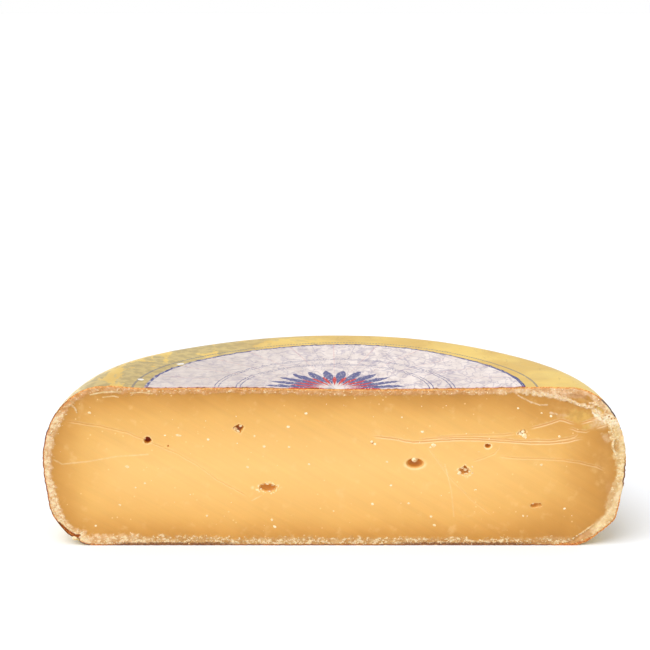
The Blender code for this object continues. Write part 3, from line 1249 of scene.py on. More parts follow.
EYES = tuple(Eye(*values) for values in (
    (-0.1217, 0.0722, 0.0025, 0.0023, 0.0034, 1.0, 0.3, 0.45, 0.5),
    (-0.0622, 0.0803, 0.0032, 0.0024, 0.0024, 0.8, 0.35, 0.35, 0.6),
    (-0.044, 0.0397, 0.0056, 0.003, 0.0026, 0.5, 0.4, 1.0, 1.0),
    (0.0525, 0.0565, 0.006, 0.0034, 0.0034, 0.6, 0.06, 0.55),
    (0.085, 0.0512, 0.0038, 0.0026, 0.0018, 0.62, 0.5, 1.0, 0.8),
    (0.0998, 0.0683, 0.0021, 0.0016, 0.0022, 0.66, 0.2, 1.0, 0.2),
    (0.1315, 0.0278, 0.0034, 0.0017, 0.0018, 0.42, 0.45, 0.2, 0.3),
    (0.1219, 0.077, 0.0026, 0.002, 0.0012, 0.35, 0.4, 0.5, 1.0),
    (-0.1084, 0.0683, 0.0006, 0.0007, 0.0008, 0.5, 0.22, 0.2),
    (0.0249, 0.0701, 0.0008, 0.0007, 0.0006, 0.25, 0.22, 0.5),
    (0.1779, 0.0882, 0.0005, 0.0005, 0.0006, 0.5, 0.22, 0.0),
    (0.1794, 0.0866, 0.0005, 0.0006, 0.0006, 0.5, 0.22, 0.0),
    (0.1816, 0.0869, 0.0004, 0.0005, 0.0006, 0.5, 0.22, 0.0),
    (0.1754, 0.0887, 0.0005, 0.0004, 0.0006, 0.4, 0.22, 0.0),
    (0.1811, 0.0893, 0.0004, 0.0004, 0.0006, 0.4, 0.22, 0.0),
))
CRACKS = tuple(Crack(*values) for values in (
    (((0.024, 0.0744), (0.0394, 0.0726), (0.0511, 0.0702), (0.064, 0.071), (0.0769, 0.072), (0.095, 0.0717),
      (0.113, 0.0707), (0.126, 0.0698), (0.1359, 0.0695), (0.1474, 0.0702), (0.1539, 0.0713),
      (0.1569, 0.0723), (0.1619, 0.0731)), 0.00032, 0.0002, 0.00012, 0.75),
    (((0.054, 0.0718), (0.064, 0.0728), (0.0795, 0.0735), (0.095, 0.0731), (0.1105, 0.0722),
      (0.1209, 0.0713), (0.1434, 0.0715), (0.1529, 0.0731), (0.1559, 0.0742), (0.1579, 0.0762),
      (0.1579, 0.0783)), 0.0003, 0.00018, 0.00012, 0.6),
    (((0.064, 0.0738), (0.0795, 0.0747), (0.095, 0.0748), (0.1105, 0.0753), (0.119, 0.0762)),
      0.00028, 0.00014, 0.0001, 0.35),
    (((0.1259, 0.0794), (0.1359, 0.082), (0.1409, 0.0836), (0.1459, 0.0856), (0.1489, 0.0851),
      (0.1529, 0.0836), (0.1569, 0.0828)), 0.0003, 0.00022, 0.00012, 0.65),
    (((0.1509, 0.0804), (0.1549, 0.0794), (0.1579, 0.0782), (0.1634, 0.0776), (0.1669, 0.079)),
      0.00028, 0.0002, 0.00014, 0.55),
    (((0.106, 0.0606), (0.1209, 0.0592), (0.1359, 0.059), (0.1509, 0.058), (0.1609, 0.0564),
      (0.1709, 0.0538), (0.1774, 0.0512)), 0.00026, 0.0002, 0.00016, 0.22),
    (((0.1076, 0.0704), (0.1072, 0.0664), (0.1044, 0.0627), (0.0975, 0.0596), (0.0884, 0.0568)),
      0.00024, 0.0002, 0.0001, 0.15),
    (((-0.1749, 0.0847), (-0.1522, 0.0812), (-0.1342, 0.0765), (-0.1161, 0.0685), (-0.1026, 0.0627),
      (-0.089, 0.0546), (-0.0772, 0.045), (-0.056, 0.033)), 0.00024, 0.0003, 0.00012, 0.1),
    (((0.06, 0.068), (0.074, 0.048), (0.09, 0.031), (0.104, 0.02)), 0.00022, 0.0002, 8e-05, 0.05),
    (((0.1589, 0.083), (0.1714, 0.0862)), 0.0003, 0.0002, 0.0, 0.9),
    (((0.1639, 0.0851), (0.1734, 0.0877)), 0.0003, 0.0002, 0.0, 0.9),
    (((0.1689, 0.0794), (0.1789, 0.083)), 0.00028, 0.0002, 0.0, 0.8),
))
PATCHES = tuple(Patch(mark, *values) for mark, rows in (
    (Mark.PINK, (
        (0.085, 0.0512, 0.0034, 0.0024, 0.0, 1.0, 0.0), (0.1774, 0.0735, 0.0035, 0.0034, 0.0, 0.55, 0.0003),
        (0.15, 0.103, 0.015, 0.0022, -0.12, 0.8, 0.0), (0.166, 0.0078, 0.007, 0.002, 0.62, 0.7, 0.0),
        (0.03, 0.104, 0.05, 0.0014, 0.0, 0.5, 0.0), (-0.1865, 0.066, 0.0025, 0.02, 0.0, 0.7, 0.0),
        (0.1818, 0.033, 0.0026, 0.01, 0.15, 0.4, 0.0), (0.145, 0.003, 0.013, 0.003, 0.0, 0.48, 0.0),
    )),
    (Mark.AMBER, (
        (0.1604, 0.0994, 0.009, 0.0019, -0.42, 1.0, 0.0006),
        (0.1469, 0.0934, 0.01, 0.0042, -0.12, 0.5, 0.0002),
        (0.1809, 0.0809, 0.0012, 0.0029, 0.2, 0.5, 0.0004),
        (0.1844, 0.0669, 0.0024, 0.0048, 0.1, 0.45, 0.0004),
        (0.16, 0.0052, 0.0055, 0.0016, 0.6, 0.8, 0.0004), (0.176, 0.052, 0.005, 0.018, 0.05, 0.45, 0.0),
    )),
    (Mark.OLIVE, (
        (0.1719, 0.0924, 0.0036, 0.0017, -0.7, 1.0, 0.0008),
        (0.1586, 0.0886, 0.0092, 0.0046, -0.08, 0.7, 0.0002), (0.1636, 0.0815, 0.003, 0.002, 0.2, 0.8, 0.0),
    )),
    (Mark.PALE, (
        (0.1704, 0.09, 0.005, 0.003, -0.9, 0.95, 0.0), (0.173, 0.0965, 0.007, 0.0022, -0.75, 0.4, 0.0),
        (0.148, 0.089, 0.004, 0.0014, 0.0, 0.18, 0.0), (0.1735, 0.085, 0.008, 0.004, 0.3, 0.35, 0.0),
        (0.1794, 0.0855, 0.0072, 0.0044, -0.55, 1.0, 0.0),
    )),
) for values in rows)
RIDGES = tuple(Ridge(*values) for values in (
    (((-0.158, 0.103), (-0.15, 0.1046), (-0.138, 0.105)), 0.0007, 0.0003, 0.9, True),
    (((-0.15, 0.1012), (-0.143, 0.102), (-0.14, 0.1012)), 0.0005, 0.0002, 0.7, True),
    (((-0.132, 0.104), (-0.125, 0.1046), (-0.118, 0.1036)), 0.0006, 0.0003, 0.8, True),
    (((-0.1755, 0.0945), (-0.1708, 0.0962), (-0.1684, 0.094), (-0.1672, 0.0912)), 0.0008, 0.0004, 0.9),
    (((-0.1712, 0.0995), (-0.1684, 0.0968)), 0.0007, 0.0003, 0.8),
    (((-0.1832, 0.0589), (-0.1778, 0.056), (-0.1604, 0.0579), (-0.1419, 0.0613), (-0.1217, 0.0627)),
      0.0006, 0.0002, 0.38, True),
    (((-0.0545, 0.031), (-0.048, 0.0345)), 0.0005, 0.0002, 0.5, True),
    (((0.072, 0.056), (0.0765, 0.038), (0.0785, 0.02)), 0.0005, 0.0001, 0.35, True),
    (((0.185, 0.084), (0.1874, 0.0746), (0.188, 0.0658), (0.1878, 0.063)), 0.0046, 0.0002, 0.9, True),
    (((0.1209, 0.1049), (0.13, 0.104), (0.1384, 0.1028), (0.1489, 0.1002)), 0.002, 0.0005, 0.9),
    (((0.1489, 0.1002), (0.1579, 0.0965), (0.1659, 0.0945), (0.1689, 0.0965)), 0.0014, 0.0009),
    (((0.1649, 0.0971), (0.1684, 0.0971), (0.1709, 0.0955)), 0.0008, 0.0006),
    (((0.1689, 0.0915), (0.1709, 0.0898), (0.1759, 0.0866)), 0.0013, 0.0007),
    (((0.1749, 0.0955), (0.1784, 0.0919)), 0.0011, 0.0005, 0.8),
    (((0.1789, 0.0814), (0.1809, 0.0773), (0.1824, 0.0741), (0.1811, 0.071), (0.1811, 0.0679),
      (0.1834, 0.0616)), 0.0009, 0.0008),
    (((0.185, 0.084), (0.188, 0.0746), (0.1884, 0.0658)), 0.0012, 0.0006),
    (((0.1183, 0.1025), (0.1274, 0.0976), (0.1329, 0.096), (0.1374, 0.096)), 0.0006, 0.0003, 0.5),
    (((0.1399, 0.0908), (0.1439, 0.0898)), 0.0008, 0.0003, 0.8),
    (((0.1878, 0.042), (0.1864, 0.034), (0.184, 0.027), (0.1808, 0.0205), (0.1763, 0.0157),
      (0.1712, 0.011)), 0.0042, 0.0002, 0.85, True),
    (((0.1845, 0.044), (0.1818, 0.035), (0.1795, 0.027)), 0.0026, 0.0003, 0.45),
    (((0.1748, 0.0765), (0.1778, 0.0722)), 0.002, 0.0003, 0.28),
    (((0.1573, 0.0044), (0.164, 0.0095), (0.1708, 0.0145)), 0.0006, 0.0006),
    (((-0.185, 0.024), (-0.1815, 0.018), (-0.176, 0.0125), (-0.17, 0.0085), (-0.164, 0.005)),
      0.0011, 0.0006),
))
RIM_STRETCHES = tuple(RimStretch(*values) for values in (
    (-0.19, 0.05, 0.0062, 0.1), (-0.186, 0.085, 0.0068, 0.2), (-0.165, 0.103, 0.0048, 0.1, 0.65),
    (-0.11, 0.108, 0.0042, 0.05, 0.75), (-0.05, 0.107, 0.0036, 0.0, 0.75), (0.06, 0.107, 0.0036, 0.0, 0.75),
    (0.115, 0.107, 0.0042, 0.05), (0.15, 0.106, 0.005, 0.0, 1.0), (0.163, 0.101, 0.0034, 0.1, 0.9),
    (0.175, 0.094, 0.007, 0.0, 1.1), (0.181, 0.085, 0.008, 0.1), (0.187, 0.07, 0.0085, 0.2),
    (0.19, 0.05, 0.0066, 0.15), (0.184, 0.022, 0.006, 0.05, 0.6), (0.168, 0.008, 0.003, 0.0, 0.6),
    (0.148, 0.0, 0.006, 0.0), (0.125, 0.0, 0.005, 0.1), (0.06, 0.0, 0.0056, 0.05), (-0.03, 0.0, 0.006, 0.0),
    (-0.11, 0.0, 0.0068, 0.0), (-0.15, 0.001, 0.008, 0.05), (-0.178, 0.012, 0.0062, 0.05),
    (-0.187, 0.028, 0.007, 0.1),
))
CHIPS = (
    Chip(-0.1700, 0.0038, 0.0016, 0.0022),
    Chip(0.1885, 0.0360, 0.0040, 0.0009),
    Chip(0.1720, 0.0950, 0.0020, 0.0006),
    Chip(-0.1895, 0.0700, 0.0030, 0.0005),
)


@dataclass(frozen=True)
class Peel:
    """A stretch where the coat stands off and shows its inner side: a slit that widens to one end."""

    start: tuple[float, float] = (-0.1812, 0.0185)
    end: tuple[float, float] = (-0.1702, 0.0050)
    width: float = 0.0032
    depth: float = 0.0012


@dataclass
class Relief:
    """Points of the cut, how far each is from the rim, how deep it lies and what it carries."""

    points: Array
    rim: Array
    depth: Array
    marks: dict[Mark, Array]

    def strengthen(self, mark: Mark, rows: int | Array, level: float | Array) -> None:
        """Makes a mark at least so strong.

        Args:
            mark: the mark.
            rows: which points are meant.
            level: the least that it comes to there.
        """
        self.marks[mark][rows] = np.maximum(self.marks[mark][rows], level)


class CutFace:
    """The relief of the cut: where its points lie and what they carry."""

    crag_grain: float = 0.0014
    crag_depth: float = 0.00034
    crag_proud: float = 0.00015
    broad_wave: float = 0.00035
    close_step: float = 0.00047
    middle_step: float = 0.0011
    open_step: float = 0.0020
    feature_step: float = 0.00036
    outline_gap: float = 0.00030
    eye_border: float = 0.0012
    eye_sag: float = 0.00018
    lip_gap: float = 0.00068
    lip_rise: float = 0.00030
    amber_sink: float = 0.00022
    seed: int = 11
    jitter: float = 0.18

    def __init__(self, outline: Array, outline_push: Array) -> None:
        """Keeps the outline.

        Args:
            outline: the points of the rim in order, as x and z.
            outline_push: how far each may be pushed into the body.
        """
        self.outline = outline
        self.outline_push = outline_push
        self.peel = Peel()
        self.finder = KDTree(len(outline))
        for number, (x, z) in enumerate(outline):
            self.finder.insert((x, z, 0.0), number)
        self.finder.balance()

    def rim_distance(self, points: Array) -> Array:
        """Measures how far each point is from the outline.

        Args:
            points: the points, as x and z.

        Returns:
            The distance of each.
        """
        nearest = np.array([self.finder.find((x, z, 0.0))[1] for x, z in points], int)
        before = self.outline[nearest - 1]
        here = self.outline[nearest]
        after = self.outline[(nearest + 1) % len(self.outline)]
        return np.minimum(span_distance(points, before, here), span_distance(points, here, after))

    def samples(self) -> Array:
        """Chooses the inner points: close together at the rim, the eyes and the cracks, and open elsewhere.

        Returns:
            The points, as x and z.
        """
        low = self.outline.min(axis=0)
        high = self.outline.max(axis=0)
        steps = (self.open_step, self.middle_step, self.close_step, self.feature_step)
        chosen = []
        draw = np.random.default_rng(self.seed)
        for step, finer in zip(steps, (*steps[1:], 0.0), strict=True):
            grid = hexagons(low, high, step)
            grid = grid + draw.uniform(-self.jitter, self.jitter, grid.shape) * step
            wanted = self.wanted_step(grid)
            chosen.append(grid[(wanted <= step * 1.001) & (wanted > finer * 1.001)])
        points = np.concatenate(chosen)
        points = points[inside_outline(points, self.outline)]
        return points[self.rim_distance(points) > self.outline_gap]

    def wanted_step(self, points: Array) -> Array:
        """Tells how close together the points should be.

        Args:
            points: the points, as x and z.

        Returns:
            The wanted distance at each.
        """
        rim = self.rim_distance(points)
        band = self.stretch_at(points)[0]
        step = np.full(len(points), self.open_step)
        step[rim < band * 2.0 + 0.003] = self.middle_step
        step[rim < band * 1.15 + 0.0005] = self.close_step
        step[(points[:, 0] > 0.150) & (points[:, 1] > 0.076) & (rim < 0.018)] = self.close_step
        for eye in EYES:
            reach = (eye.half_width + self.eye_border, eye.half_height + self.eye_border)
            offset = (points - (eye.x, eye.z)) / reach
            step[np.hypot(offset[:, 0], offset[:, 1]) < 1.25] = self.feature_step
        for lines, reaches in (
            (CRACKS, ((0.0030, self.middle_step), (0.0014, self.feature_step))),
            (RIDGES, ((0.0022, self.middle_step), (0.0013, self.close_step))),
        ):
            for line in lines:
                gap = path_distance(points, line.points)
                for reach, finest in reaches:
                    step[gap < reach] = np.minimum(step[gap < reach], finest)
        return step

    def stretch_at(self, points: Array) -> tuple[Array, Array, Array]:
        """Blends what the dry edge is like at each point.

        Args:
            points: the points, as x and z.

        Returns:
            The edge's width, how hollow it is, and how much it covers.
        """
        anchors = np.array([(s.x, s.z) for s in RIM_STRETCHES])
        kinds = np.array([(s.width, s.hollow, s.cover) for s in RIM_STRETCHES])
        gaps = np.hypot(points[:, None, 0] - anchors[None, :, 0], points[:, None, 1] - anchors[None, :, 1])
        weights = 1.0 / (gaps + 0.004) ** 3.0
        blended = (weights[:, :, None] * kinds[None]).sum(axis=1) / weights.sum(axis=1)[:, None]
        return blended[:, 0], blended[:, 1], blended[:, 2]

    def relief(self, points: Array, on_rim: bool = False) -> Relief:
        """Works out how deep each point lies and what it carries.

        Args:
            points: the points, as x and z.
            on_rim: whether they are the outline itself.

        Returns:
            The depth into the body and the marks.
        """
        rim = np.zeros(len(points)) if on_rim else self.rim_distance(points)
        marks = {mark: np.zeros(len(points)) for mark in Mark} | {Mark.RIM: rim}
        wave = self.broad_wave * np.array([rough(x, z, 0.045, 61.0, 2) for x, z in points])
        relief = Relief(points, rim, wave, marks)
        stretches = self.stretch_at(points)
        for row in np.flatnonzero(rim < stretches[0] * 2.6):
            self.edge(relief, row, *(kind[row] for kind in stretches))
        for patch in PATCHES:
            self.stain(relief, patch)
        for ridge in RIDGES:
            self.string(relief, ridge)
        for eye in EYES:
            self.hollow_out(relief, eye)
        for crack in CRACKS:
            self.crack_open(relief, crack)
        self.peeled(relief)
        return relief

    def edge(self, relief: Relief, row: int, width: float, hollow: float, cover: float) -> None:
        """Adds the dry edge's crags at one point.

        Args:
            relief: the points.
            row: which of them it is.
            width: how wide the edge is there.
            hollow: how hollow it is.
            cover: how much it covers.
        """
        x, z = relief.points[row]
        rim = relief.rim[row]
        share = rim / width + 0.30 * rough(x, z, 0.0030, 1.0, 3) + 0.20 * rough(x, z, 0.0110, 7.0, 2)
        crust = 1.0 - fade(share, 0.55, 1.25)
        crust *= fade(rough(x, z, 0.0030, 19.0, 3), -0.75 - cover, -0.35 - cover * 0.4)
        middle = fade(share, 0.20, 0.34) * (1.0 - fade(share, 0.66, 0.84))
        amber = middle * fade(hollow + 0.45 * rough(x, z, 0.0050, 31.0, 2), 0.42, 0.58)
        crust *= 1.0 - 0.85 * amber
        crust *= fade(rim, 0.0005, 0.0011)
        crags = rough(x, z, self.crag_grain, 3.0, 4)
        flakes = abs(rough(x, z, 0.0026, 13.0, 2))
        relief.depth[row] += crust * (self.crag_depth * (crags + flakes - 0.15) - self.crag_proud)
        relief.depth[row] += amber * self.amber_sink
        relief.marks[Mark.CRUST][row] = crust
        relief.marks[Mark.AMBER][row] = amber

    def stain(self, relief: Relief, patch: Patch) -> None:
        """Lays one patch in.

        Args:
            relief: the points.
            patch: the patch.
        """
        right, up = (relief.points - (patch.x, patch.z)).T
        across = (right * math.cos(patch.tilt) + up * math.sin(patch.tilt)) / patch.long
        along = (up * math.cos(patch.tilt) - right * math.sin(patch.tilt)) / patch.short
        share = np.hypot(across, along)
        clear = 0.65 if patch.strength > 0.5 else 0.15
        for row in np.flatnonzero(share < 1.6):
            reach = share[row] + 0.35 * rough(*relief.points[row], 0.0028, 83.0, 2)
            inside = patch.strength * (1.0 - fade(reach, clear, 1.80 - clear))
            relief.strengthen(patch.mark, row, inside)
            if patch.mark in (Mark.AMBER, Mark.OLIVE):
                relief.marks[Mark.CRUST][row] *= 1.0 - inside
            relief.depth[row] += patch.sink * inside

    def string(self, relief: Relief, ridge: Ridge) -> None:
        """Raises one ridge of crumbs.

        Args:
            relief: the points.
            ridge: the ridge.
        """
        gap = path_distance(relief.points, ridge.points)
        uneven, pale = (0.25, 0.95) if ridge.smooth else (0.62, 0.74)
        lifted = Mark.PALE if ridge.smooth else Mark.CRUST
        dropped = (Mark.AMBER, Mark.OLIVE, *([Mark.CRUST] if ridge.smooth else []))
        for row in np.flatnonzero(gap < ridge.width * 2.0):
            x, z = relief.points[row]
            reach = gap[row] / ridge.width + uneven * rough(x, z, 0.0022, 91.0, 3)
            inside = ridge.strength * (1.0 - fade(reach, 0.30, 1.05))
            for mark in dropped:
                relief.marks[mark][row] *= 1.0 - 0.8 * inside
            relief.strengthen(lifted, row, inside)
            relief.strengthen(Mark.PALE, row, pale * inside)
            relief.depth[row] -= ridge.height * inside * (0.6 + rough(x, z, 0.0010, 97.0, 2))

    def hollow_out(self, relief: Relief, eye: Eye) -> None:
        """Hollows out one eye.

        Args:
            relief: the points.
            eye: the eye.
        """
        box = np.abs(relief.points - (eye.x, eye.z)) < 2.2 * max(eye.half_width, eye.half_height)
        for row in np.flatnonzero(box.all(axis=1)):
            x, z = relief.points[row]
            near = eye.nearness(x, z)
            if near > 1.6:
                continue
            bowl = max(0.0, 1.0 - near * near) ** 0.55
            relief.depth[row] += eye.depth * bowl + self.eye_sag * (1.0 - fade(near, 0.9, 1.35))
            # Painted shade in the hollow, as strong as the eye's own share.
            relief.strengthen(Mark.PIT, row, eye.pit_shade * (1.0 - fade(near, 0.55, 1.04)))
            lip = eye.lip * fade(near, 0.95, 1.06) * (1.0 - fade(near, 1.12, 1.5))
            crumbs = fade(rough(x, z, 0.0014, 57.0, 3), -0.10, 0.22)
            lip *= 1.0 - eye.crumbled * (1.0 - crumbs)
            # Where no crumbs ring the eye, its lip is paler below than above: painted highlight where the
            # lower lip faces the light.
            above = fade((z - eye.z) / eye.half_height, -0.6, 0.5)
            lip *= 1.0 - 0.75 * above * max(0.0, 1.0 - 5.0 * eye.crumbled)
            relief.strengthen(Mark.LIP, row, 1.1 * lip)
            relief.depth[row] -= self.lip_rise * lip * eye.crumbled

    def crack_open(self, relief: Relief, crack: Crack) -> None:
        """Opens one crack and raises its lips.

        Args:
            relief: the points.
            crack: the crack.
        """
        rows = np.flatnonzero(path_distance(relief.points, crack.points) < 0.004)
        near = relief.points[rows]
        waver = [(x, z - self.lip_gap + 0.0003 * rough(x, z, 0.008, 71.0, 2)) for x, z in near]
        moved = np.array(waver).reshape(-1, 2)
        gap = path_distance(moved, crack.points)
        first, last = np.array(crack.points[0]), np.array(crack.points[-1])
        ends = np.minimum(np.hypot(*(near - first).T), np.hypot(*(near - last).T))
        taper = fade(ends, 0.0, 0.006)
        under = path_distance(moved + (0.0, self.lip_gap), crack.points)
        over = path_distance(moved - (0.0, self.lip_gap), crack.points)
        width = crack.width * 1.25
        groove = np.exp(-((gap / width) ** 2)) * taper
        # The lip below the groove is about twice as pale as the one above it: partly dried paste, partly
        # painted highlight.
        lips = (np.exp(-((under / width) ** 2)) + 0.45 * np.exp(-((over / width) ** 2))) * taper
        relief.depth[rows] += crack.depth * groove - crack.lip * lips
        # Painted shade in the crack's gap.
        relief.strengthen(Mark.CRACK, rows, groove * crack.gape)
        relief.strengthen(Mark.LIP, rows, lips * (0.22 + 0.70 * crack.gape))

    def peeled(self, relief: Relief) -> None:
        """Sinks the stretch where the coat has come away.

        Args:
            relief: the points.
        """
        rim = relief.rim
        start = np.array(self.peel.start)
        along = np.array(self.peel.end) - start
        share = ((relief.points - start) @ along) / (along @ along)
        inner = self.peel.width * np.clip(share, 0.0, 1.0) ** 0.45
        strip = fade(rim, 0.0002, 0.0005) * (1.0 - fade(rim, inner * 0.8, inner + 1e-6))
        close = np.hypot(*(relief.points - start - along / 2).T) < np.hypot(*along)
        strip = strip * (share > 0.02) * (share < 1.0) * (rim < 0.004) * close
        relief.depth += self.peel.depth * strip
        relief.marks[Mark.COAT] = strip
        relief.marks[Mark.CRUST] *= 1.0 - strip


def span_distance(points: Array, start: Array, end: Array) -> Array:
    """Measures how far points are from straight spans.

    Args:
        points: the points, as x and z.
        start: where the span starts, or one start for each point.
        end: where it ends.

    Returns:
        The distance of each point.
    """
    along = end - start
    offset = points - start
    share = (offset * along).sum(axis=-1) / np.maximum((along**2).sum(axis=-1), 1e-18)
    gap = offset - np.clip(share, 0.0, 1.0)[:, None] * along
    return np.hypot(gap[:, 0], gap[:, 1])


def path_distance(points: Array, path: Sequence[tuple[float, float]]) -> Array:
    """Measures how far points are from a line of straight spans.

    Args:
        points: the points, as x and z.
        path: the corners of the line, in order.

    Returns:
        The shortest distance of each point.
    """
    corners = np.array(path)
    spans = zip(corners[:-1], corners[1:], strict=True)
    return np.min([span_distance(points, start, end) for start, end in spans], axis=0)


def hexagons(low: Array, high: Array, step: float) -> Array:
    """Lays points out in even rows, each shifted by half a step.

    Args:
        low: the lowest corner.
        high: the highest corner.
        step: how far apart the points are.

    Returns:
        The points, as x and z.
    """
    rows = np.arange(low[1], high[1], step * math.sqrt(0.75))
    columns = np.arange(low[0], high[0], step)
    x, z = np.meshgrid(columns, rows)
    x = x + (np.arange(len(rows)) % 2)[:, None] * step / 2
    return np.stack((x.ravel(), z.ravel()), axis=1)


def inside_outline(points: Array, outline: Array) -> Array:
    """Tells which points lie inside a closed outline.

    Args:
        points: the points, as x and z.
        outline: the outline's points in order.

    Returns:
        True for each point inside.
    """
    inside = np.zeros(len(points), bool)
    ends = np.roll(outline, -1, axis=0)
    for (x0, z0), (x1, z1) in zip(outline, ends, strict=True):
        if z0 == z1:
            continue
        crosses = (points[:, 1] > min(z0, z1)) & (points[:, 1] <= max(z0, z1))
        at = x0 + (points[:, 1] - z0) * (x1 - x0) / (z1 - z0)
        inside ^= crosses & (points[:, 0] < at)
    return inside


@dataclass
class CheeseWheel:
    """The half wheel itself: a rind made by nodes, closed by the relief of the cut."""

    shape: WheelShape
    turn_steps: int = 130
    profile_steps: int = 130
    turn_crowding: float = 0.1
    top_share: float = 0.14
    waist_share: float = 0.55
    base_share: float = 0.86
    rim_step: float = 0.0007
    chip_grain: float = 0.0036
    chip_depth: float = 0.00030
    top_chip_depth: float = 0.00022
    crumbled_depth: float = 0.00060
    rim_proud: float = 0.0004
    rim_give: float = 0.45
    coat_grain: float = 0.009
    coat_roughness: float = 0.00018

    def rind_rule(self, material: Material) -> GeometryRule:
        """Writes the rule of the rind: the profile, swept through half a turn.

        Args:
            material: the coat's material.

        Returns:
            The rule.
        """
        shape = self.shape
        rule = GeometryRule("rind_rule")
        radius_in = rule.size("Wheel Radius", shape.radius)
        height_in = rule.size("Wheel Height", shape.height)
        waist = rule.size("Waist Height", shape.waist)
        top = rule.size("Top Shoulder", shape.top_shoulder)
        base = rule.size("Base Shoulder", shape.base_shoulder)
        fineness = rule.size("Coat Roughness", self.coat_roughness)
        turn_points = rule.count("Turn Points", self.turn_steps)
        grid = rule.grid(turn_points, rule.count("Profile Points", self.profile_steps))
        across, along, _ = rule.parts(rule.place())
        share = across + 0.5
        down = along + 0.5
        turn = (share - (share * math.tau).sine() * self.turn_crowding) * math.pi
        flat_out = (down / self.top_share).kept()
        over = ((down - self.top_share) / (self.waist_share - self.top_share)).kept() * (math.pi / 2)
        under = ((down - self.waist_share) / (self.base_share - self.waist_share)).kept()
        under = (1.0 - under) * (math.pi / 2)
        flat_in = ((down - self.base_share) / (1.0 - self.base_share)).kept()
        top_power = 2.0 / shape.top_roundness
        base_power = 2.0 / shape.base_roundness
        radius = (radius_in - top) * flat_out + top * over.sine() ** top_power
        radius = radius - base * (1.0 - under.sine() ** base_power) - (radius_in - base) * flat_in
        radius = radius.most(0.0)
        height = waist + (height_in - waist) * over.cosine().most(0.0) ** top_power
        height = height - waist * under.cosine().most(0.0) ** base_power
        out = shape.swelling(rule, radius, turn, height)
        level = height / shape.height
        rise = level * level * shape.rise(rule, radius, turn)
        spot = rule.joined(radius * turn.cosine(), radius * turn.sine(), height)
        skin = (rule.cloud(spot, self.coat_grain, 4.0) - 0.5) * fineness * 2.0
        out = out + skin * (level * math.pi).sine()
        rise = rise + skin * level * level
        reach = radius + out
        place = rule.joined(reach * turn.cosine(), reach * turn.sine(), (height + rise).most(0.0))
        rule.finish(rule.welded(rule.moved(grid, place)), material)
        return rule

    def build(
        self, coat: Material, paste: Material
    ) -> tuple[Piece, CutFace]:
        """Makes the whole wheel.

        Args:
            coat: the rind's material.
            paste: the cut's material.

        Returns:
            The wheel and the relief of its cut.
        """
        made = self.rind_rule(coat).made("cheese_wheel")
        body = bmesh.new()
        body.from_mesh(made.data)
        layers = {mark: body.verts.layers.float.new(mark.value) for mark in Mark}
        self.split_rim(body)
        loop = rim_loop(body)
        self.chip_rim(loop)
        outline = np.array([(v.co.x, v.co.z) for v in loop])
        push = np.array([self.rim_give * self.first_gap(v.co.x) for v in loop])
        face = CutFace(outline, push)
        inner = self.close_cut(body, loop, face, layers)
        bmesh.ops.triangulate(body, faces=[f for f in body.faces if len(f.verts) > 4])
        bmesh.ops.recalc_face_normals(body, faces=body.faces)
        bmesh.ops.translate(body, verts=body.verts, vec=(0.0, AXIS_Y, 0.0))
        body.to_mesh(made.data)
        body.free()
        made.data.materials.append(paste)
        made.data.set_sharp_from_angle(angle=SHARP_ANGLE)
        LOG.info("cheese_wheel: %d inner points on the cut", inner)
        return made, face

    def first_gap(self, x: float) -> float:
        """How far the rind's second row of points is behind the cut."""
        first_turn = math.pi / (self.turn_steps - 1) * (1.0 - math.tau * self.turn_crowding)
        return abs(x) * first_turn

    def split_rim(self, body: bmesh.types.BMesh) -> None:
        """Gives the rim points close enough together for its chips.

        Args:
            body: the mesh, open at the cut.
        """
        wanted: dict[int, list[bmesh.types.BMEdge]] = {}
        for edge in body.edges:
            if edge.is_boundary:
                cuts = math.ceil(edge.calc_length() / self.rim_step) - 1
                wanted.setdefault(cuts, []).append(edge)
        for cuts, edges in wanted.items():
            if cuts > 0:
                bmesh.ops.subdivide_edges(body, edges=edges, cuts=cuts)

    def chip_rim(self, loop: Sequence[bmesh.types.BMVert]) -> None:
        """Breaks small pieces off the rim.

        Args:
            loop: the rim's points in order.
        """
        middle = Vector((0.0, 0.0, self.shape.height / 2))
        places = [v.co.copy() for v in loop]
        for number, vert in enumerate(loop):
            here = places[number]
            ahead = places[(number + 2) % len(loop)] - places[number - 2]
            inward = Vector((-ahead.z, 0.0, ahead.x)).normalized()
            if inward.dot(middle - here) < 0:
                inward.negate()
            most = self.chip_depth
            if here.z > self.shape.height - 0.006:
                most = self.top_chip_depth
            elif here.x > 0.170 and here.z < 0.090:
                most = self.crumbled_depth
            loss = most * max(0.0, rough(here.x, here.z, self.chip_grain, 5.0, 4) + 0.10) * 2.0
            for chip in CHIPS:
                away = math.hypot(here.x - chip.x, here.z - chip.z) / chip.reach
                loss = max(loss, chip.depth * math.exp(-away * away))
            vert.co = here + inward * loss
            vert.co.y = 0.0

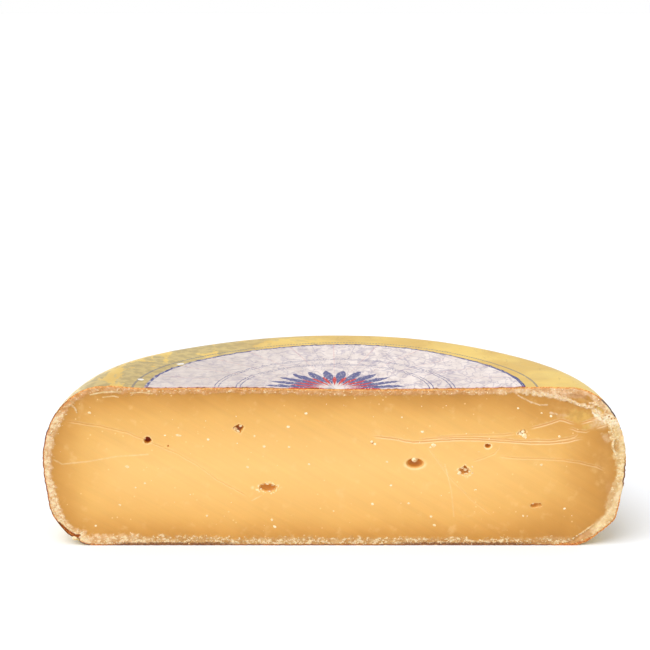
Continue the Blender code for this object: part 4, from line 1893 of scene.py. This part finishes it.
    def close_cut(
        self,
        body: bmesh.types.BMesh,
        loop: Sequence[bmesh.types.BMVert],
        face: CutFace,
        layers: dict[Mark, object],
    ) -> int:
        """Fills the cut with its relief.

        Args:
            body: the mesh, open at the cut.
            loop: the rim's points in order.
            face: the relief.
            layers: where each mark is kept.

        Returns:
            How many points lie inside the rim.
        """
        inner = face.samples()
        count = len(loop)
        points = [Vector(p) for p in face.outline] + [Vector(p) for p in inner]
        edges = [(n, (n + 1) % count) for n in range(count)]
        filled = delaunay_2d_cdt(points, edges, [], 1, WELD * 0.01)
        placed, triangles, origins = filled[0], filled[2], filled[3]
        on_rim = face.relief(face.outline, on_rim=True)
        inside = face.relief(inner)
        verts = list(loop)
        for row, (x, z) in enumerate(inner):
            verts.append(body.verts.new((x, inside.depth[row], z)))
        for mark, layer in layers.items():
            values = np.concatenate((on_rim.marks[mark], inside.marks[mark]))
            for vert, value in zip(verts, values, strict=True):
                vert[layer] = value
        pushes = np.clip(on_rim.depth, -self.rim_proud, face.outline_push)
        for vert, push in zip(loop, pushes, strict=True):
            vert.co.y = push
        chosen = [verts[min(sources)] if sources else None for sources in origins]
        for number, vert in enumerate(chosen):
            if vert is None:
                chosen[number] = body.verts.new((placed[number].x, 0.0, placed[number].y))
        for triangle in triangles:
            made = body.faces.new([chosen[n] for n in triangle])
            made.material_index = 1
            made.smooth = True
        return len(inner)


def rim_loop(body: bmesh.types.BMesh) -> list[bmesh.types.BMVert]:
    """Walks round the open rim.

    Args:
        body: a mesh with one opening.

    Returns:
        The opening's points in order.
    """
    edges = [e for e in body.edges if e.is_boundary]
    start = edges[0].verts[0]
    loop = [start]
    before = edges[0]
    vert = edges[0].other_vert(start)
    while vert is not start:
        loop.append(vert)
        before = next(e for e in vert.link_edges if e.is_boundary and e is not before)
        vert = before.other_vert(vert)
    return loop


@dataclass
class TopLabel:
    """The round paper on top, cut with the wheel."""

    shape: WheelShape
    radius: float = 0.1232
    lift: float = 0.00035
    thickness: float = 0.00040
    notch_at: float = 2.60
    notch_depth: float = 0.0024
    notch_turn: float = 0.03
    turn_points: int = 230
    ring_points: int = 76
    crease_height: float = 0.00042

    def rule(self, material: Material) -> GeometryRule:
        """Writes the rule of the paper: a half disc, laid on the top and creased.

        Args:
            material: the paper's material.

        Returns:
            The rule.
        """
        shape = self.shape
        rule = GeometryRule("label_rule")
        reach = rule.size("Label Radius", self.radius)
        lift = rule.size("Lift", self.lift)
        crease_height = rule.size("Crease Height", self.crease_height)
        turn_points = rule.count("Turn Points", self.turn_points)
        grid = rule.grid(turn_points, rule.count("Ring Points", self.ring_points))
        across, along, _ = rule.parts(rule.place())
        turn = (across + 0.5) * math.pi
        ring = (along + 0.5) ** 0.85
        off = (turn - self.notch_at) / self.notch_turn
        radius = (reach - (off * off * -1.0).grown() * self.notch_depth) * ring
        spot = rule.joined(radius * turn.cosine(), radius * turn.sine(), 0.0)
        folds = (rule.cloud(spot, 0.0085, 2.5, 0.5, 0.6, (1.0, 0.40, 1.0)) - 0.5).size()
        crease = folds.faded(0.055, 0.0)
        small = rule.cloud(spot, 0.004, 3.0) - 0.5
        height = shape.rise(rule, radius, turn) + shape.height + lift
        height = height + crease_height * crease + small * crease_height * 0.5
        marked = rule.add(
            "GeometryNodeStoreNamedAttribute",
            {"Geometry": grid, "Name": "crease", "Value": crease},
            data_type="FLOAT",
            domain="POINT",
        )
        place = rule.joined(radius * turn.cosine(), radius * turn.sine() + AXIS_Y, height)
        rule.finish(rule.welded(rule.moved(marked.outputs[0], place)), material)
        return rule

    def build(self, material: Material) -> Piece:
        """Makes the label with its thickness.

        Args:
            material: the paper's material.

        Returns:
            The label.
        """
        made = self.rule(material).made("top_label")
        facing_up = made.data.polygons[len(made.data.polygons) // 2].normal.z > 0
        if not facing_up:
            made.data.flip_normals()
        wall = made.modifiers.new("Thickness", "SOLIDIFY")
        wall.thickness = self.thickness
        wall.offset = -0.6
        return made


class Grain(Enum):
    """The kinds of small pieces on the cut."""

    PINHEAD = "fine_crystals"
    CRUMB = "rim_crumbs"


@dataclass(frozen=True)
class Scatter:
    """How one kind of grain lies on the wheel."""

    kind: Grain
    mark: Mark
    threshold: float
    spacing: float
    share: float
    smallest: float
    largest: float
    flatness: float
    seed: int

    def rule(self, material: Material) -> GeometryRule:
        """Writes the rule that strews the grains over the part of the cut that the mark picks.

        Args:
            material: the grains' material.

        Returns:
            The rule.
        """
        rule = GeometryRule(self.kind.value + "_rule")
        spacing = rule.size("Spacing", self.spacing)
        smallest = rule.size("Smallest", self.smallest)
        largest = rule.size("Largest", self.largest)
        seed = rule.count("Seed", self.seed)
        mark = rule.attribute(self.mark.value)
        picked = mark.worked("GREATER_THAN", self.threshold)
        spread = rule.add(
            "GeometryNodeDistributePointsOnFaces",
            {
                "Mesh": rule.entry.outputs["Geometry"],
                "Distance Min": spacing,
                "Density Max": 1.0 / (self.spacing * self.spacing),
                "Density Factor": picked * self.share,
                "Seed": seed,
            },
            distribute_method="POISSON",
        )
        ball = rule.add("GeometryNodeMeshIcoSphere", {"Radius": 0.5, "Subdivisions": 1}).outputs[0]
        small = rule.random(0.0, 1.0, seed)
        size = smallest + (largest - smallest) * small * small
        flat = rule.random(self.flatness, 1.0, 5)
        scale = rule.joined(size, size * flat, size * rule.random(0.7, 1.3, 9))
        inputs = {"Points": spread.outputs[0], "Instance": ball, "Scale": scale}
        inputs["Rotation"] = rule.random_turn(3)
        placed = rule.add("GeometryNodeInstanceOnPoints", inputs).outputs[0]
        rule.finish(rule.dented(placed, self.largest * 0.7, self.largest * 0.45), material, smooth=False)
        return rule

    def build(self, material: Material, wheel: Piece) -> Piece:
        """Makes the grains that lie on the wheel, all of them as one piece."""
        return self.rule(material).made(self.kind.value, wheel.data)


@dataclass(frozen=True)
class Nugget:
    """A crystal or flake that sits at a place of its own."""

    x: float
    z: float
    size: float
    deep: float = 0.0
    wide: float = 1.25
    tilt: float = 0.15


CRYSTALS = tuple(Nugget(*values) for values in (
    (-0.1357, 0.0544, 0.0016, 0.0, 1.8, 0.5), (-0.1306, 0.04, 0.0012), (-0.1588, 0.0909, 0.0015),
    (-0.1105, 0.0757, 0.0011), (-0.1411, 0.0281, 0.0013), (-0.0838, 0.0206, 0.0012),
    (-0.1572, 0.0137, 0.0012), (-0.0823, 0.0727, 0.0014), (-0.1241, 0.0431, 0.0011),
    (-0.0186, 0.0904, 0.0013), (-0.0301, 0.0815, 0.0015), (-0.0522, 0.0751, 0.0012),
    (-0.0459, 0.0681, 0.0015), (-0.0299, 0.068, 0.0013), (-0.0568, 0.0541, 0.0014),
    (-0.0412, 0.0179, 0.0014), (-0.0004, 0.0239, 0.0012), (0.0249, 0.0286, 0.0015),
    (0.0371, 0.0414, 0.0013), (0.0487, 0.0291, 0.0012), (0.0571, 0.0779, 0.0016), (0.0435, 0.0879, 0.0011),
    (0.0636, 0.0199, 0.0014), (0.0342, 0.0575, 0.0013), (-0.0167, 0.056, 0.0012), (0.134, 0.0906, 0.0011),
    (0.1403, 0.0885, 0.0013), (0.1461, 0.0748, 0.0014), (0.1351, 0.0556, 0.0014), (0.0923, 0.0384, 0.0013),
    (0.1242, 0.0205, 0.0013), (0.1511, 0.0256, 0.0012), (0.1189, 0.0936, 0.0013), (0.0645, 0.0689, 0.0024),
    (0.0625, 0.0672, 0.0015), (0.1198, 0.0774, 0.002, 0.0002), (0.1224, 0.078, 0.0018, 0.0001, 1.0, 0.9),
    (0.1234, 0.0753, 0.0026, 0.0, 1.1, 1.3), (0.1208, 0.0755, 0.0022, 0.0001, 1.4, 0.2),
    (0.1242, 0.0742, 0.0015, 0.0001), (0.0264, 0.0699, 0.0015), (0.0242, 0.0713, 0.0013),
    (0.0658, 0.014, 0.0014, 0.0, 1.8, 0.3), (-0.0395, 0.0131, 0.0014, 0.0, 1.5, 0.5),
    (-0.1015, 0.0756, 0.0013, 0.0, 2.6, 0.15),
))
FLAKES = tuple(Nugget(*values) for values in (
    (-0.0646, 0.0798, 0.0021, 0.0004, 1.1, 0.9), (-0.063, 0.0782, 0.0014, 0.0003, 1.6, 0.3),
    (-0.0612, 0.082, 0.0013, 0.0004, 1.5, -0.3), (0.0522, 0.0592, 0.0031, 0.0002, 1.1, 1.2),
    (0.054, 0.0597, 0.0014, 0.0003, 1.5, -0.3), (0.0508, 0.0598, 0.0012, 0.0002, 1.2, 0.5),
    (0.0876, 0.0528, 0.0019, 0.0001, 1.2, 0.8), (0.0899, 0.0543, 0.0012, 0.0, 1.1, 0.5),
    (0.0901, 0.0502, 0.0012, 0.0, 1.3, 0.2), (0.0887, 0.0508, 0.0018, 0.0, 1.2, -0.9),
    (0.0828, 0.0536, 0.0018, 0.0001, 1.5, 0.2), (0.0814, 0.0499, 0.0018, 0.0, 1.4, -0.5),
    (0.0853, 0.0522, 0.0014, 0.0004, 1.3, 0.3), (0.0862, 0.0488, 0.0015, 0.0001, 1.5, 0.1),
    (-0.0474, 0.0423, 0.0014, 0.0001, 1.7, 0.3), (-0.044, 0.0427, 0.0013, 0.0001, 1.9, 0.0),
    (-0.0404, 0.0416, 0.0014, 0.0001, 1.4, -0.5), (-0.0486, 0.0384, 0.0012, 0.0001, 1.4, -0.6),
    (-0.0428, 0.0368, 0.0012, 0.0001, 1.9, 0.1), (-0.0392, 0.0384, 0.0012, 0.0001, 1.2, 0.8),
    (-0.1238, 0.0738, 0.0011, 0.0002, 1.6, 0.7), (-0.1716, 0.005, 0.0022, -0.0002, 1.2, 0.3),
    (0.1302, 0.0292, 0.001, 0.0002, 1.8, 0.2), (0.1004, 0.0698, 0.0009, 0.0002, 1.5, 0.4),
))


@dataclass(frozen=True)
class NuggetSet:
    """Crystals or flakes at places chosen one by one."""

    name: str
    nuggets: tuple[Nugget, ...]
    thickness: float = 0.42
    proud: float = 0.10
    facets: int = 2
    dents: float = 0.42
    growth: float = 1.3

    def seats(self, face: CutFace) -> bpy.types.Mesh:
        """Puts a point where each nugget sits, with its size and its turn.

        Args:
            face: the cut that they sit on.

        Returns:
            The points, as a mesh.
        """
        relief = face.relief(np.array([(n.x, n.z) for n in self.nuggets]))
        hole = relief.marks[Mark.PIT] > 0.3
        places = []
        for nugget, low, deep in zip(self.nuggets, relief.depth, hole, strict=True):
            surface = 0.0 if deep else low
            sink = nugget.size * self.growth * (self.thickness / 2 - self.proud)
            places.append((nugget.x, AXIS_Y + surface + nugget.deep + sink, nugget.z))
        mesh = bpy.data.meshes.new(self.name + "_seats")
        mesh.from_pydata(places, [], [])
        for label, values in (
            ("nugget_size", [n.size * self.growth for n in self.nuggets]),
            ("nugget_width", [n.wide for n in self.nuggets]),
            ("nugget_tilt", [n.tilt for n in self.nuggets]),
        ):
            mesh.attributes.new(label, "FLOAT", "POINT").data.foreach_set("value", values)
        return mesh

    def build(self, material: Material, face: CutFace) -> Piece:
        """Makes the nuggets.

        Args:
            material: what they are dressed in.
            face: the cut that they sit on.

        Returns:
            All of them as one piece.
        """
        rule = GeometryRule(self.name + "_rule")
        uneven = rule.size("Unevenness", self.dents)
        shape = {"Radius": 0.5, "Subdivisions": self.facets}
        ball = rule.add("GeometryNodeMeshIcoSphere", shape).outputs[0]
        size = rule.attribute("nugget_size")
        flat = size * rule.size("Thickness", self.thickness)
        scale = rule.joined(size * rule.attribute("nugget_width"), flat, size)
        turn = rule.joined(0.0, rule.attribute("nugget_tilt"), 0.0)
        inputs = {"Points": rule.entry.outputs["Geometry"], "Instance": ball}
        inputs |= {"Rotation": turn, "Scale": scale}
        placed = rule.add("GeometryNodeInstanceOnPoints", inputs).outputs[0]
        rule.finish(rule.dented(placed, 0.0011, uneven * 0.0022), material)
        return rule.made(self.name, self.seats(face))


@dataclass(frozen=True)
class WideLight:
    """A broad light that falls on everything alike."""

    name: str
    comes_from: tuple[float, float, float]
    breadth: float
    strength: float

    def build(self) -> None:
        """Hangs the light."""
        light = bpy.data.lights.new(self.name, "SUN")
        light.angle = math.radians(self.breadth)
        light.energy = self.strength
        turn = Vector(self.comes_from).to_track_quat("Z", "Y")
        shown(self.name, light).rotation_euler = turn.to_euler()


@dataclass(frozen=True)
class Studio:
    """The pale floor, the soft lights and the camera."""

    floor_reach: float = 120.0
    sky_light: float = 0.74
    camera_place: tuple[float, float, float] = (-0.0063, -1.0192, 0.3484)
    camera_pitch: float = 0.2125
    focal_pixels: float = 1478.0
    picture_pixels: float = 650.0
    sensor: float = 36.0
    light: WideLight = WideLight("key", (-0.42, -0.50, 0.95), 50.0, 2.0)

    def build(self) -> None:
        """Sets the studio up."""
        self.floor()
        self.sky()
        self.light.build()
        self.camera()
        bpy.context.scene.view_settings.view_transform = "Standard"

    def floor(self) -> None:
        """Lays the floor."""
        mesh = bpy.data.meshes.new("floor")
        half = self.floor_reach / 2
        corners = [(-half, -half, 0.0), (half, -half, 0.0), (half, half, 0.0), (-half, half, 0.0)]
        mesh.from_pydata(corners, [], [(0, 1, 2, 3)])
        mesh.materials.append(FloorFinish().material())
        shown("floor", mesh)

    def sky(self) -> None:
        """Surrounds the scene with white, dimmer as a light than as a backdrop."""
        world = bpy.data.worlds.new("studio")
        world.use_nodes = True
        desk = Desk(world.node_tree)
        background = world.node_tree.nodes["Background"]
        seen = Formula(desk.tree, desk.add("ShaderNodeLightPath").outputs["Is Camera Ray"])
        wire(desk.tree, seen * (1.0 - self.sky_light) + self.sky_light, background.inputs["Strength"])
        background.inputs["Color"].default_value = (1.0, 1.0, 1.0, 1.0)
        bpy.context.scene.world = world

    def camera(self) -> None:
        """Stands the camera where the picture was taken from."""
        data = bpy.data.cameras.new("camera")
        data.sensor_width = self.sensor
        data.lens = self.focal_pixels / self.picture_pixels * self.sensor
        data.clip_start = 0.01
        camera = shown("camera", data)
        camera.location = self.camera_place
        camera.rotation_euler = (math.pi / 2 - self.camera_pitch, 0.0, 0.0)
        bpy.context.scene.camera = camera


def report(piece: Piece) -> None:
    """Logs how many triangles a piece has.

    Args:
        piece: the piece.
    """
    graph = bpy.context.evaluated_depsgraph_get()
    mesh = piece.evaluated_get(graph).to_mesh()
    mesh.calc_loop_triangles()
    LOG.info("%s: %d triangles", piece.name, len(mesh.loop_triangles))


def settle(pieces: Iterable[Piece]) -> None:
    """Lets pieces ride on the body and logs how many triangles each has.

    Args:
        pieces: the pieces.
    """
    for piece in pieces:
        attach(piece, BODY)
        report(piece)


def main() -> None:
    """Builds the wheel, its label, its grains and the studio."""
    logging.basicConfig(level=logging.INFO, format="%(name)s %(message)s")
    shape = WheelShape()
    wheel, face = CheeseWheel(shape).build(RindFinish().material(), PasteFinish().material())
    label = TopLabel(shape).build(LabelFinish().material())
    white = GrainFinish("crystal_white", paint(240, 208, 150), paint(250, 232, 194), 0.5).material()
    cream = GrainFinish("crumb_cream", paint(214, 168, 110), paint(246, 226, 182), 0.75).material()
    scatters = (
        (Scatter(Grain.PINHEAD, Mark.RIM, 0.009, 0.0105, 0.32, 0.0005, 0.0011, 0.6, 4), white),
        (Scatter(Grain.CRUMB, Mark.CRUST, 0.60, 0.0014, 0.60, 0.0004, 0.0012, 0.5, 8), cream),
    )
    grains = [scatter.build(finish, wheel) for scatter, finish in scatters]
    grains.append(NuggetSet("crystals", CRYSTALS).build(white, face))
    grains.append(NuggetSet("eye_flakes", FLAKES).build(cream, face))
    settle([wheel, *grains])
    settle([label])
    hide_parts("cheese")
    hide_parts("label")
    Studio().build()


if __name__ == "__main__":
    main()
